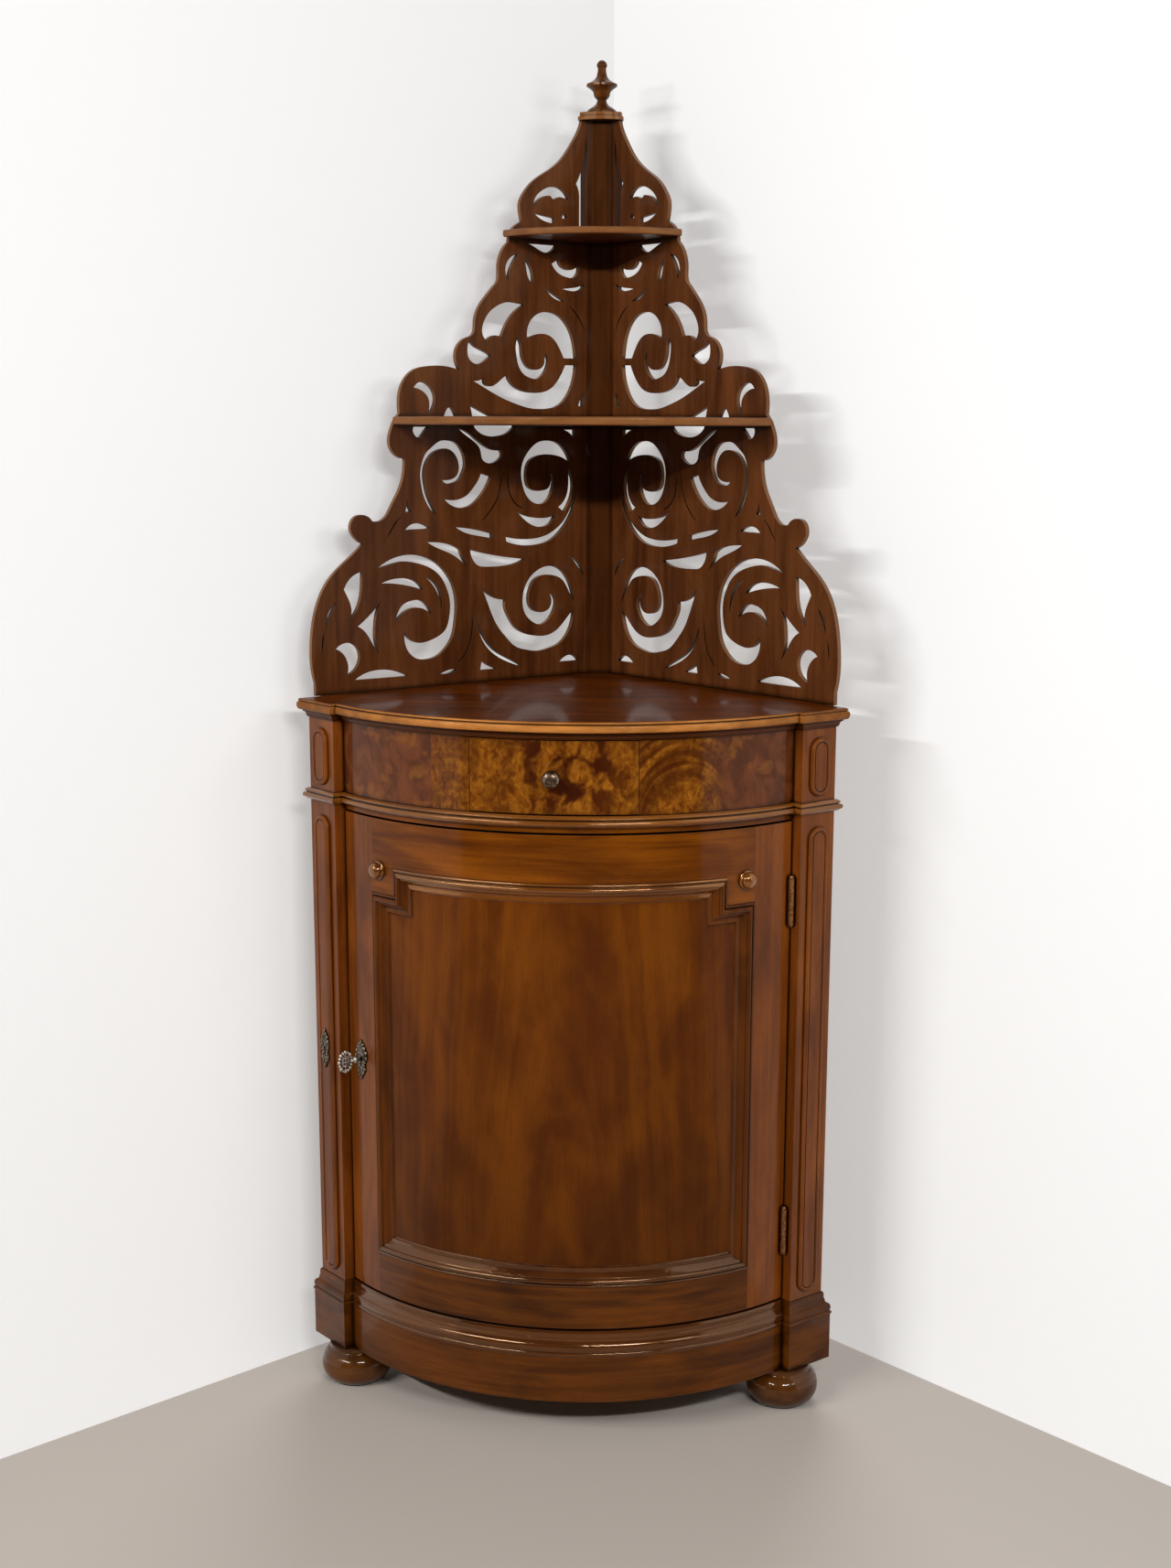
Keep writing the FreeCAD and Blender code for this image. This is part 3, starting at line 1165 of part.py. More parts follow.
# Openings of the middle tier
MIDDLE_OPENINGS = [
    [[(64, 1480), (66, 1495), (72, 1515), (82, 1530), (97, 1541), (115, 1545), (132, 1543), (145, 1535), (152, 1525), (154, 1507)],
     [(140, 1512), (125, 1514), (110, 1510), (99, 1500), (87, 1480)], []],
    [[(64, 1470), (66, 1455), (71, 1440), (80, 1425), (92, 1414), (107, 1408), (130, 1406), (150, 1407), (172, 1412),
      (200, 1421), (225, 1432), (250, 1444)],
     [(241, 1445), (231, 1449)],
     [(229, 1439), (221, 1437), (210, 1441), (190, 1454)],
     [(186, 1445), (177, 1437), (162, 1431), (145, 1429), (127, 1430), (112, 1435), (100, 1445), (91, 1457), (84, 1470)], []],
    [[(171, 1507), (175, 1497), (174, 1482), (170, 1467), (160, 1455), (147, 1450), (137, 1449), (127, 1454), (120, 1462),
      (116, 1472), (121, 1488)],
     [(122, 1478), (124, 1469), (130, 1464), (140, 1462), (152, 1465), (160, 1474), (164, 1485), (165, 1496)]],
    [[(160, 1554), (175, 1556), (192, 1556), (207, 1551), (222, 1541), (232, 1527), (235, 1515), (227, 1501)],
     [(220, 1507), (201, 1507)], [(195, 1520), (185, 1535), (172, 1547)]],
    [[(220, 1480), (232, 1486), (245, 1491), (257, 1502)], [(261, 1487), (258, 1475), (244, 1468), (232, 1472)]],
    [[(354, 1433), (340, 1441), (329, 1437), (321, 1429), (318, 1417), (322, 1405), (330, 1394)], [(328, 1405), (329, 1418), (338, 1428)]],
    [[(282, 1394), (293, 1407), (303, 1394)], []],
    [[(48, 1411), (50, 1430), (59, 1411)], []],
    [[(144, 1584), (143, 1594), (147, 1607), (159, 1619)], [(156, 1607), (152, 1592)]],
    [[(171, 1624), (182, 1620), (190, 1612), (193, 1602), (187, 1587)], [(186, 1597), (182, 1607)]],
    [[(101, 1640), (110, 1632), (120, 1629), (132, 1632), (154, 1640)], []],
    [[(60, 1614), (61, 1602), (69, 1596), (80, 1596), (92, 1599), (109, 1614)], [(96, 1621)], [(92, 1612), (82, 1607), (72, 1607)]],
]
MIDDLE_SLITS = [
    ([(47, 1589), (56, 1582), (70, 1579), (89, 1579)], 4.5),
    ([(85, 1561), (103, 1567), (122, 1580)], 4.5),
]
# Openings of the top tier
TOP_OPENINGS = [
    [[(78, 1705), (83, 1714), (92, 1720), (104, 1722), (116, 1720), (127, 1715), (136, 1708), (142, 1690)],
     [(137, 1698), (130, 1704), (121, 1708), (111, 1709)],
     [(104, 1705), (97, 1708), (89, 1708)]],
    [[(104, 1671), (118, 1672), (130, 1676), (141, 1683)], [(127, 1681), (104, 1678)], []],
    [[(80, 1679), (85, 1686), (90, 1679)], []],
]
# Lines cut into the panels' faces, from the scrolls out into the leaves
FRET_LINES = [
    [(197, 1318), (203, 1297), (210, 1276), (222, 1259), (240, 1243)],
    [(190, 1318), (190, 1296), (184, 1277), (172, 1265), (160, 1261)],
    [(256, 1108), (258, 1080), (265, 1058), (275, 1045), (284, 1037)],
    [(377, 1254), (387, 1246), (396, 1234), (405, 1222)],
    [(509, 1096), (512, 1084), (513, 1066)],
    [(79, 1557), (66, 1547), (54, 1532), (47, 1515)],
]


def fret_panel():
    """Right panel: one board sawn to its lobed edge, pierced, and cut with a few lines."""
    board = sawn(FRET_EDGE + FRET_INNER + [[]])
    openings = [sawn(runs) for runs in LOW_OPENINGS + SCROLL_OPENINGS + MIDDLE_OPENINGS + TOP_OPENINGS]
    slits = [slit(points, width) for points, width in LOW_SLITS + MIDDLE_SLITS]
    slits += [slit(points, FRET_LINE, FRET_LINE_DEPTH) for points in FRET_LINES]
    holes = [dowel_hole(1, along) for along in DOWEL_PLACES]
    return less(board, openings + slits + holes + shelf_screws(1, FIT))


def corner_post():
    """Square post in the corner, with a sunk band down its front arris."""
    lip = plan(1, POST_SIDE, FRET_FRONT)
    band_y = lip.y + POST_HOLLOW
    corners = [
        plan(1, 0, 0), plan(1, POST_SIDE, 0), lip, V(POST_BAND, band_y, 0), V(-POST_BAND, band_y, 0),
        plan(-1, POST_SIDE, FRET_FRONT), plan(-1, POST_SIDE, 0),
    ]
    return slab(corners, TOP_SURFACE, TOP_SURFACE + CAP_BASE)


def stand_shelf(reach, nose_y, height, thickness):
    """Shelf between the panels, bowed in front, with a rounded edge."""
    z0 = TOP_SURFACE + height
    left = plan(-1, reach, FRET_FRONT, z0)
    right = plan(1, reach, FRET_FRONT, z0)
    nose = V(0, nose_y, z0)
    apex = plan(1, FRET_FRONT, FRET_FRONT, z0)
    edges = [run([apex, right]), Part.Arc(right, nose, left).toShape(), run([left, apex])]
    board = Part.Face(Part.Wire(edges)).extrude(V(0, 0, thickness))
    front = [e for e in board.Edges if isinstance(e.Curve, Part.Circle)]
    board = board.makeFillet(thickness * 0.3, front)
    screws = [s for side in (-1, 1) for s in shelf_screws(side, FIT)]
    return less(board, [corner_post()] + screws)


def cap():
    """Small moulded plate over the tops of the post and the panels."""
    z0 = TOP_SURFACE + CAP_BASE
    z1 = z0 + CAP_THICKNESS
    step = CAP_THICKNESS * 0.45

    def plate(shrink, low, high):
        round_front = Part.makeCylinder(CAP_REACH - shrink, high - low, V(0, CORNER_Y, low))
        strip = box(-CAP_HALF + shrink, CAP_HALF - shrink, 0, CAP_REACH, low, high)
        return round_front.common(strip).common(wedge(0.0, low, high))

    return joined([plate(0.0, z0, z0 + step), plate(2.5, z0 + step, z1)])


def finial():
    h = FINIAL_HEIGHT
    profile = [
        [(0, 0), (22, 0)],
        [(22, 2.5)],
        [(18, 6.5), (10.5, 11.5), (6.8, 0.25 * h)],
        [(8.6, 0.28 * h)],
        [(11.5, 0.33 * h), (12.8, 0.40 * h), (17.5, 0.465 * h), (22.5, 0.51 * h)],
        [(22.5, 0.55 * h)],
        [(15, 0.60 * h), (9.0, 0.67 * h), (7.0, 0.75 * h)],
        [(6.2, 0.80 * h), (6.2, 0.86 * h)],
        [(7.4, 0.88 * h), (7.4, 0.92 * h)],
        [(6.0, 0.96 * h), (3.4, 0.99 * h), (0, h)],
        [],
    ]
    base = plan(1, FINIAL_OFF, FINIAL_OFF, TOP_SURFACE + CAP_BASE + CAP_THICKNESS)
    return turned(profile, base, UP)


# All pieces

def pieces():
    right_fret = fret_panel()
    middle_nose = plan(1, FRET_REACH, FRET_FRONT).y - MIDDLE_NOSE
    upper_nose = plan(1, UPPER_REACH, FRET_FRONT).y - UPPER_BULGE
    made = {
        "left_back_board": back_board(-1),
        "right_back_board": back_board(1),
        "rear_corner_stile": rear_stile(),
        "left_pilaster": pilaster(-1),
        "right_pilaster": pilaster(1),
        "left_plinth_block": plinth_block(-1),
        "right_plinth_block": plinth_block(1),
        "plinth_bow": plinth_front(),
        "plinth_moulding": plinth_moulding(),
        "waist_rail": waist_rail(),
        "waist_moulding": waist_moulding(),
        "left_frieze_panel": frieze_panel(-1),
        "right_frieze_panel": frieze_panel(1),
        "cornice_moulding": cornice_moulding(),
        "top_board": top_board(),
        "bottom_board": bottom_board(),
        "inner_shelf": inner_shelf(),
        "shelf_battens": group([shelf_batten(-1), shelf_batten(1)]),
        "dust_board": dust_board(),
        "left_drawer_runner": drawer_runner(-1),
        "right_drawer_runner": drawer_runner(1),
        "left_front_foot": foot(plan(-1, FRONT_FOOT_ALONG, FRONT_FOOT_OFF)),
        "right_front_foot": foot(plan(1, FRONT_FOOT_ALONG, FRONT_FOOT_OFF)),
        "rear_foot": foot(plan(1, REAR_FOOT_OFF, REAR_FOOT_OFF)),
        "hinge_frame_leaves": group(frame_leaf(z) for z in HINGE_PLACES),
        "hinge_pins": group(hinge_pin(z) for z in HINGE_PLACES),
        "strike_plate": strike_plate(),
        "pilaster_escutcheon": pilaster_escutcheon(),
        "left_fret_panel": mirrored(right_fret),
        "right_fret_panel": right_fret,
        "corner_post": corner_post(),
        "middle_shelf": stand_shelf(MIDDLE_REACH, middle_nose, MIDDLE_SHELF, STAND_SHELF_THICKNESS),
        "upper_shelf": stand_shelf(UPPER_REACH, upper_nose, UPPER_SHELF, UPPER_SHELF_THICKNESS),
        "cap": cap(),
        "finial": finial(),
        "panel_dowels": group(dowel(s, a) for s in (-1, 1) for a in DOWEL_PLACES),
        "shelf_screws": group(shelf_screws(-1) + shelf_screws(1)),
        "door_lock_stile": lock_stile(),
        "door_hinge_stile": door_stile(1),
        "door_top_rail": top_rail(),
        "door_bottom_rail": bottom_rail(),
        "door_panel": door_panel(),
        "panel_moulding_bottom": moulding_length(0),
        "panel_moulding_right": group(moulding_length(n) for n in (1, 2, 3)),
        "panel_moulding_top": moulding_length(4),
        "panel_moulding_left": group(moulding_length(n) for n in (5, 6, 7)),
        "door_bosses": group([boss(-1), boss(1)]),
        "lock_case": lock_case(),
        "door_escutcheon": door_escutcheon(),
        "hinge_door_leaves": group(door_leaf(z) for z in HINGE_PLACES),
        "key": key(),
        "lock_bolt": lock_bolt(),
        "drawer_front": drawer_front(),
        "drawer_left_side": drawer_side(-1),
        "drawer_right_side": drawer_side(1),
        "drawer_back": drawer_back(),
        "drawer_bottom": drawer_bottom(),
        "drawer_knob": drawer_knob(),
    }
    return made


os.makedirs("parts", exist_ok=True)
for name, shape in pieces().items():
    shape.exportStep("parts/" + name + ".step")
    print(name, len(shape.Solids), round(shape.Volume / 1000, 1), shape.isValid())
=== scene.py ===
import math

import bmesh
import bpy
from mathutils import Matrix, Vector


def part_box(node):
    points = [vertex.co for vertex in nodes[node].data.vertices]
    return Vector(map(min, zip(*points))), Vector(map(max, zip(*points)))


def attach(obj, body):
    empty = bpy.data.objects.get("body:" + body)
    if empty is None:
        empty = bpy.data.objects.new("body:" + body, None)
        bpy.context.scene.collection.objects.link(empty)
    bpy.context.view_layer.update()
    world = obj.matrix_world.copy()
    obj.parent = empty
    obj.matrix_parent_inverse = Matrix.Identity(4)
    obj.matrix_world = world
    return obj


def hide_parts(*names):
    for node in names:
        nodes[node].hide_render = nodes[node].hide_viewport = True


# Bow-fronted walnut corner cabinet: finishes, cast ornament, stage, light and camera.
# Lengths are metres; sizes of patterns and of ornament are given in millimetres.

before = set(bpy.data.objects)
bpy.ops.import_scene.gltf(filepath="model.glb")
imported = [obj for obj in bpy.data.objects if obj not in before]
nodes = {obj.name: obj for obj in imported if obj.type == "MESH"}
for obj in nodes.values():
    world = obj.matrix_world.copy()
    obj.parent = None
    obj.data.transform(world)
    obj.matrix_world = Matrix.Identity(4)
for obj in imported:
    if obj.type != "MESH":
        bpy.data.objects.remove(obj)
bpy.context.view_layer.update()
scene = bpy.context.scene

MM = 0.001
BOW_RADIUS = 0.404
BOW_AXIS_Y = 0.1235
UP = Vector((0, 0, 1))
# The left fretwork panel faces across and the right one outward; the lock's plates face outward too.
OUTWARD = Vector((-1, -1, 0)).normalized()
ACROSS = Vector((1, -1, 0)).normalized()


# Colour and node helpers

def linear(code):
    """Linear colour of an sRGB hex code."""
    channels = [int(code[n:n + 2], 16) / 255 for n in (1, 3, 5)]
    return tuple(c / 12.92 if c <= 0.04045 else ((c + 0.055) / 1.055) ** 2.4 for c in channels) + (1.0,)


def add(tree, kind, inputs=None, **settings):
    """New node with its settings; each input takes a value or another node's socket."""
    made = tree.nodes.new(kind)
    for name, value in settings.items():
        setattr(made, name, value)
    for name, value in (inputs or {}).items():
        if isinstance(value, bpy.types.NodeSocket):
            tree.links.new(value, made.inputs[name])
        else:
            made.inputs[name].default_value = value
    return made


def blended(tree, share, first, second):
    """Colour between two colours, by a share from a socket or a number."""
    return add(tree, "ShaderNodeMix", {0: share, 6: first, 7: second}, data_type="RGBA").outputs[2]


def spread(tree, value, low, high, start=0.0, end=1.0):
    """Value whose low and high become start and end, held between them."""
    inputs = {0: value, 1: low, 2: high, 3: start, 4: end}
    return add(tree, "ShaderNodeMapRange", inputs, interpolation_type="SMOOTHSTEP").outputs[0]


def sums(tree, operation, first, second=0.0):
    """Number made of one or two numbers by an operation."""
    return add(tree, "ShaderNodeMath", {0: first, 1: second}, operation=operation).outputs[0]


def vectors(tree, operation, first, second):
    """Vector made of two vectors by an operation."""
    return add(tree, "ShaderNodeVectorMath", {0: first, 1: second}, operation=operation).outputs["Vector"]


def measured(tree, operation, first, second=(0, 0, 0)):
    """Number made of one or two vectors by an operation."""
    return add(tree, "ShaderNodeVectorMath", {0: first, 1: second}, operation=operation).outputs["Value"]


def axes(tree, vector):
    """The three numbers of a vector."""
    return tuple(add(tree, "ShaderNodeSeparateXYZ", {0: vector}).outputs)


def place_on(tree):
    """Place on a piece, in metres."""
    return add(tree, "ShaderNodeTexCoord").outputs["Object"]


def facing(tree):
    """Direction that a surface faces."""
    return add(tree, "ShaderNodeNewGeometry").outputs["Normal"]


def mottled(tree, size, detail):
    """Noise in patches of this size over a piece, in millimetres."""
    inputs = {"Vector": place_on(tree), "Scale": 1 / (size * MM), "Detail": detail}
    return add(tree, "ShaderNodeTexNoise", inputs).outputs[0]


def started(name):
    """New material with no nodes in it."""
    material = bpy.data.materials.new(name)
    material.use_nodes = True
    material.node_tree.nodes.clear()
    return material


def closed(material, surface):
    """Joins a surface to the material's output."""
    add(material.node_tree, "ShaderNodeOutputMaterial", {"Surface": surface})
    return material


# Wood. A grain space is measured in millimetres, and its third axis runs along the grain.

def unrolled(tree):
    """Place on the unrolled bow: distance round it, distance from its axis, and height, in metres."""
    x, y, z = axes(tree, place_on(tree))
    depth = sums(tree, "SUBTRACT", BOW_AXIS_Y, y)
    ring = sums(tree, "MULTIPLY", sums(tree, "ARCTAN2", x, depth), BOW_RADIUS)
    squares = sums(tree, "ADD", sums(tree, "MULTIPLY", x, x), sums(tree, "MULTIPLY", depth, depth))
    return ring, sums(tree, "SQRT", squares), z


def grain_space(tree, way):
    """Coordinates of the wood: upright, level (along X), or following the bow either way."""
    order = unrolled(tree) if "bow" in way else axes(tree, place_on(tree))
    if "upright" not in way:
        order = order[::-1]
    metres = add(tree, "ShaderNodeCombineXYZ", dict(enumerate(order))).outputs[0]
    return vectors(tree, "MULTIPLY", metres, (1 / MM,) * 3)


def streaks(tree, grain, across, along, detail=2.0, twist=0.0):
    """Noise whose streaks have this size across and along the grain, in millimetres."""
    place = vectors(tree, "MULTIPLY", grain, (1 / across, 1 / across, 1 / along))
    inputs = {"Vector": place, "Scale": 1.0, "Detail": detail, "Roughness": 0.55, "Distortion": twist}
    return add(tree, "ShaderNodeTexNoise", inputs).outputs[0]


def edges_and_creases(tree, radius, crease):
    """Softened normal, a mask of rubbed edges, and a mask of creases for grime and painted shade, from ambient
    occlusion.
    """
    rounded = add(tree, "ShaderNodeBevel", {"Radius": radius * MM}, samples=4).outputs[0]
    turned = measured(tree, "DOT_PRODUCT", rounded, facing(tree))
    rubbed = spread(tree, mottled(tree, 24.0, 4.0), 0.42, 0.64, 0.10, 0.9)
    edge = sums(tree, "MULTIPLY", spread(tree, turned, 0.985, 0.80), rubbed)
    shelter = add(tree, "ShaderNodeAmbientOcclusion", {"Distance": crease * MM}, samples=6).outputs["AO"]
    return rounded, edge, spread(tree, shelter, 0.93, 0.52, 0.0, 0.94)


def shellac(material, colour, height, gloss=0.28, worn="#8a5c38", soft=1.3, crease=10.0, shine=0.16,
            rough=0.30, bend=1.5):
    """Closes a wood's nodes: rubbed edges, grime and painted shade in the creases, soft arrises and a shellac
    coat.

    The coat's strength is gloss, and the amber highlight under it is set by shine, bend and rough. Rubbed
    edges take the colour worn. Arrises are rounded by soft, and grime and painted shade reach as far as
    crease, in millimetres.
    """
    tree = material.node_tree
    rounded, edge, dirt_and_painted_shade = edges_and_creases(tree, soft, crease)
    colour = blended(tree, sums(tree, "MULTIPLY", edge, 0.75), colour, linear(worn))
    # painted shade, with grime: creases go near-black by ambient occlusion
    colour = blended(tree, dirt_and_painted_shade, colour, linear("#0c0401"))
    hazy = spread(tree, mottled(tree, 55.0, 3.0), 0.30, 0.70, rough, rough * 1.4)
    dull = sums(tree, "ADD", hazy, sums(tree, "MULTIPLY", edge, 0.2))
    bump = add(tree, "ShaderNodeBump", {
        "Strength": 0.30, "Distance": 0.25 * MM, "Height": height, "Normal": rounded,
    })
    surface = add(tree, "ShaderNodeBsdfPrincipled", {
        "Base Color": colour, "Roughness": dull, "Normal": bump.outputs[0], "IOR": bend,
        "Specular IOR Level": shine, "Specular Tint": linear("#e0a868"),
        "Coat Weight": gloss, "Coat Roughness": 0.08,
    })
    return closed(material, surface.outputs[0])


def fibres_and_pores(tree, grain, colour):
    """Fine fibre lines and short open pores over a wood's colour, and the height they give."""
    fibres = streaks(tree, grain, 1.7, 70.0, 3.0)
    # real pores are finer than the picture shows, so they are drawn about twice as coarse
    ticks = spread(tree, streaks(tree, grain, 1.1, 13.0, 1.0), 0.60, 0.72)
    colour = blended(tree, spread(tree, fibres, 0.48, 0.74, 0.0, 0.24), colour, linear("#260e03"))
    colour = blended(tree, sums(tree, "MULTIPLY", ticks, 0.28), colour, linear("#180802"))
    height = sums(tree, "SUBTRACT", sums(tree, "MULTIPLY", fibres, 0.4), sums(tree, "MULTIPLY", ticks, 0.5))
    return colour, height


def walnut(name, way, dark, light, worn_and_lit_edge=None, broad=None, ends=1.0, **look):
    """Walnut: cloudy tone drift and faint growth bands along the grain, fibres and pores.

    A board may have paler edges, from wear and painted light: they are those that don't face the way its broad
    sides do.
    """
    material = started(name)
    tree = material.node_tree
    grain = grain_space(tree, way)
    drift = streaks(tree, grain, 60.0, 210.0, 3.0, 0.8)
    bands = streaks(tree, grain, 15.0, 330.0, 4.0, 0.9)
    tone = sums(tree, "ADD", sums(tree, "MULTIPLY", drift, 0.62), sums(tree, "MULTIPLY", bands, 0.38))
    colour = blended(tree, spread(tree, tone, 0.30, 0.70), linear(dark), linear(light))
    colour, height = fibres_and_pores(tree, grain, colour)
    if worn_and_lit_edge:
        # the sawn edges are painted paler in patches: wear, and painted light where lamps and the walls light
        # them
        flatness = sums(tree, "ABSOLUTE", measured(tree, "DOT_PRODUCT", facing(tree), broad))
        edge = spread(tree, flatness, 0.92, 0.55)
        worn_and_lit_share = spread(tree, streaks(tree, grain, 18.0, 70.0, 3.0), 0.35, 0.65, 0.60, 0.95)
        # painted light: the middle of a front edge is painted palest, its ends least
        aside = sums(tree, "ABSOLUTE", axes(tree, place_on(tree))[0])
        middle_lit_share = spread(tree, aside, 180 * MM, 370 * MM, 1.0, ends)
        worn_and_lit_share = sums(tree, "MULTIPLY", worn_and_lit_share, middle_lit_share)
        colour = blended(tree, sums(tree, "MULTIPLY", edge, worn_and_lit_share), colour, linear(worn_and_lit_edge))
    return shellac(material, colour, height, **look)


def swirled(tree, grain, size, reach):
    """Grain space pushed about by slow noise, for wood that grew in knots and curls."""
    place = vectors(tree, "MULTIPLY", grain, (1 / size,) * 3)
    drift = add(tree, "ShaderNodeTexNoise", {"Vector": place, "Scale": 1.0, "Detail": 2.0}).outputs[1]
    push = vectors(tree, "SUBTRACT", drift, (0.5,) * 3)
    push = vectors(tree, "MULTIPLY", push, (reach,) * 3)
    return vectors(tree, "ADD", grain, push)


def away_from(tree, grain, centre, tall=1.0):
    """Way from a point of the unrolled veneer, along its face only, with heights divided by tall."""
    away = vectors(tree, "SUBTRACT", grain, (centre[0], 0, centre[1]))
    return vectors(tree, "MULTIPLY", away, (1, 0, 1 / tall))


# Millimetres of grain that lie along one radian of an arch
ARCH_GRAIN = 45.0


def arched(tree, grain, centre, tall):
    """Grain space bent into nested arches about a point of the unrolled veneer."""
    away = away_from(tree, grain, centre, tall)
    reach = measured(tree, "LENGTH", away)
    parts = axes(tree, away)
    turn = sums(tree, "MULTIPLY", sums(tree, "ARCTAN2", parts[0], parts[2]), ARCH_GRAIN)
    return add(tree, "ShaderNodeCombineXYZ", {0: reach, 2: turn}).outputs[0]


def burl_veneer(name, joint, flame, flame_share, knot, blotch_share):
    """Veneer of the frieze: plain dull walnut on one side of a joint, and figured golden wood on the other.

    The figure has soft dark blotches that gather round a knot, flecks, and a flame of nested arches. The
    plain side has a few golden patches.
    """
    material = started(name)
    tree = material.node_tree
    grain = grain_space(tree, "bow upright")
    loose = swirled(tree, grain, 45.0, 24.0)
    flecks = streaks(tree, loose, 7.0, 10.0, 4.0, 0.4)
    gold = blended(tree, spread(tree, flecks, 0.28, 0.72), linear("#6d3508"), linear("#a36418"))

    # the heart of the flame stays clear gold, and its arches darken outwards
    bent = arched(tree, swirled(tree, grain, 80.0, 12.0), flame, 1.2)
    arches = spread(tree, streaks(tree, bent, 9.0, 70.0, 4.0, 0.4), 0.32, 0.62)
    flames = sums(tree, "MULTIPLY", arches, spread(tree, axes(tree, bent)[0], 20.0, 62.0))
    gold = blended(tree, sums(tree, "MULTIPLY", flames, flame_share), gold, linear("#451a04"))

    knot_reach = measured(tree, "LENGTH", away_from(tree, loose, knot))
    blotches = spread(tree, streaks(tree, loose, 27.0, 33.0, 2.5, 0.4), 0.42, 0.62)
    blotches = sums(tree, "MULTIPLY", blotches, spread(tree, knot_reach, 110.0, 40.0, 0.40, 1.0))
    gold = blended(tree, sums(tree, "MULTIPLY", blotches, blotch_share), gold, linear("#3c1304"))

    clouds = spread(tree, streaks(tree, grain, 34.0, 52.0, 3.0, 0.8), 0.34, 0.66)
    plain = blended(tree, clouds, linear("#4f250e"), linear("#733d1d"))
    patches = spread(tree, streaks(tree, loose, 38.0, 26.0, 2.0), 0.56, 0.68, 0.0, 0.6)
    plain = blended(tree, patches, plain, linear("#8a5118"))

    colour = blended(tree, spread(tree, axes(tree, grain)[0], joint[0], joint[1]), plain, gold)
    colour, height = fibres_and_pores(tree, loose, colour)
    return shellac(material, colour, height)


def panel_veneer(name):
    """Flat-sawn veneer of the door: cloudy tones, and faint upright streaks that close to arches."""
    material = started(name)
    tree = material.node_tree
    grain = grain_space(tree, "bow upright")
    clouds = streaks(tree, grain, 70.0, 150.0, 3.0, 0.3)
    bent = arched(tree, swirled(tree, grain, 140.0, 22.0), (8.0, -150.0), 9.0)
    bands = streaks(tree, bent, 15.0, 60.0, 2.0, 0.3)
    tone = sums(tree, "ADD", sums(tree, "MULTIPLY", clouds, 0.68), sums(tree, "MULTIPLY", bands, 0.32))
    colour = blended(tree, spread(tree, tone, 0.34, 0.66), linear("#512405"), linear("#743c08"))
    # darker towards the foot of the door
    low = spread(tree, axes(tree, grain)[2], 640.0, 200.0, 0.0, 0.38)
    colour = blended(tree, low, colour, linear("#2f1403"))
    colour, height = fibres_and_pores(tree, grain, colour)
    return shellac(material, colour, height, gloss=0.14, shine=0.09)


def bare_softwood(name, way):
    """Unfinished poplar gone brown with age: dusty, matt, straight grain and saw marks across it."""
    material = started(name)
    tree = material.node_tree
    grain = grain_space(tree, way)
    bands = streaks(tree, grain, 26.0, 500.0, 3.0, 0.4)
    colour = blended(tree, spread(tree, bands, 0.30, 0.70), linear("#765636"), linear("#957349"))
    fibres = streaks(tree, grain, 2.4, 120.0, 3.0)
    colour = blended(tree, spread(tree, fibres, 0.5, 0.78, 0.0, 0.22), colour, linear("#4a2f18"))
    dust = streaks(tree, grain, 160.0, 160.0, 4.0)
    colour = blended(tree, spread(tree, dust, 0.45, 0.7, 0.0, 0.4), colour, linear("#8d7a62"))
    saw = streaks(tree, grain, 60.0, 3.5, 2.0)
    height = sums(tree, "ADD", fibres, sums(tree, "MULTIPLY", saw, 0.6))
    # painted shade, with dust: corners and creases darken by ambient occlusion over 30 mm
    rounded, _, dirt_and_painted_shade = edges_and_creases(tree, 1.2, 30.0)
    colour = blended(tree, dirt_and_painted_shade, colour, linear("#24160b"))
    bump = add(tree, "ShaderNodeBump", {
        "Strength": 0.4, "Distance": 0.4 * MM, "Height": height, "Normal": rounded,
    })
    surface = add(tree, "ShaderNodeBsdfPrincipled", {
        "Base Color": colour, "Roughness": spread(tree, fibres, 0.3, 0.7, 0.7, 0.9),
        "Normal": bump.outputs[0], "Specular IOR Level": 0.25,
    })
    return closed(material, surface.outputs[0])


def old_metal(name, clean, tarnish, roughness, grain, depth):
    """Old cast or forged metal: rubbed bright on its edges, tarnished and painted with shade in its hollows.

    Its skin has a grain of this size and a bump of this depth, in millimetres.
    """
    material = started(name)
    tree = material.node_tree
    rounded, edge, dirt_and_painted_shade = edges_and_creases(tree, 0.25, 4.0)
    cast = mottled(tree, grain, 4.0)
    spots = spread(tree, cast, 0.40, 0.62, 0.15, 0.9)
    colour = blended(tree, spots, linear(clean), linear(tarnish))
    colour = blended(tree, edge, colour, linear(clean))
    # painted shade, with tarnish: hollows go near-black by ambient occlusion
    colour = blended(tree, dirt_and_painted_shade, colour, linear("#0b0806"))
    rough = spread(tree, cast, 0.3, 0.7, roughness - 0.08, roughness + 0.15)
    bump = add(tree, "ShaderNodeBump", {
        "Strength": 0.6, "Distance": depth * MM, "Height": cast, "Normal": rounded,
    })
    surface = add(tree, "ShaderNodeBsdfPrincipled", {
        "Base Color": colour, "Metallic": 1.0, "Roughness": rough, "Normal": bump.outputs[0],
    })
    return closed(material, surface.outputs[0])


# Looks that several walnut finishes share: polished beads, those that catch the light most, and the dull stand
# on beads the golden worn colour is partly a painted highlight along their arrises
BEAD = {"gloss": 0.50, "worn": "#b98648", "soft": 0.4, "crease": 4.0, "shine": 1.0, "rough": 0.12}
LUSTRE = {**BEAD, "bend": 1.85}
MATT = {"gloss": 0.12, "worn": "#90653f"}

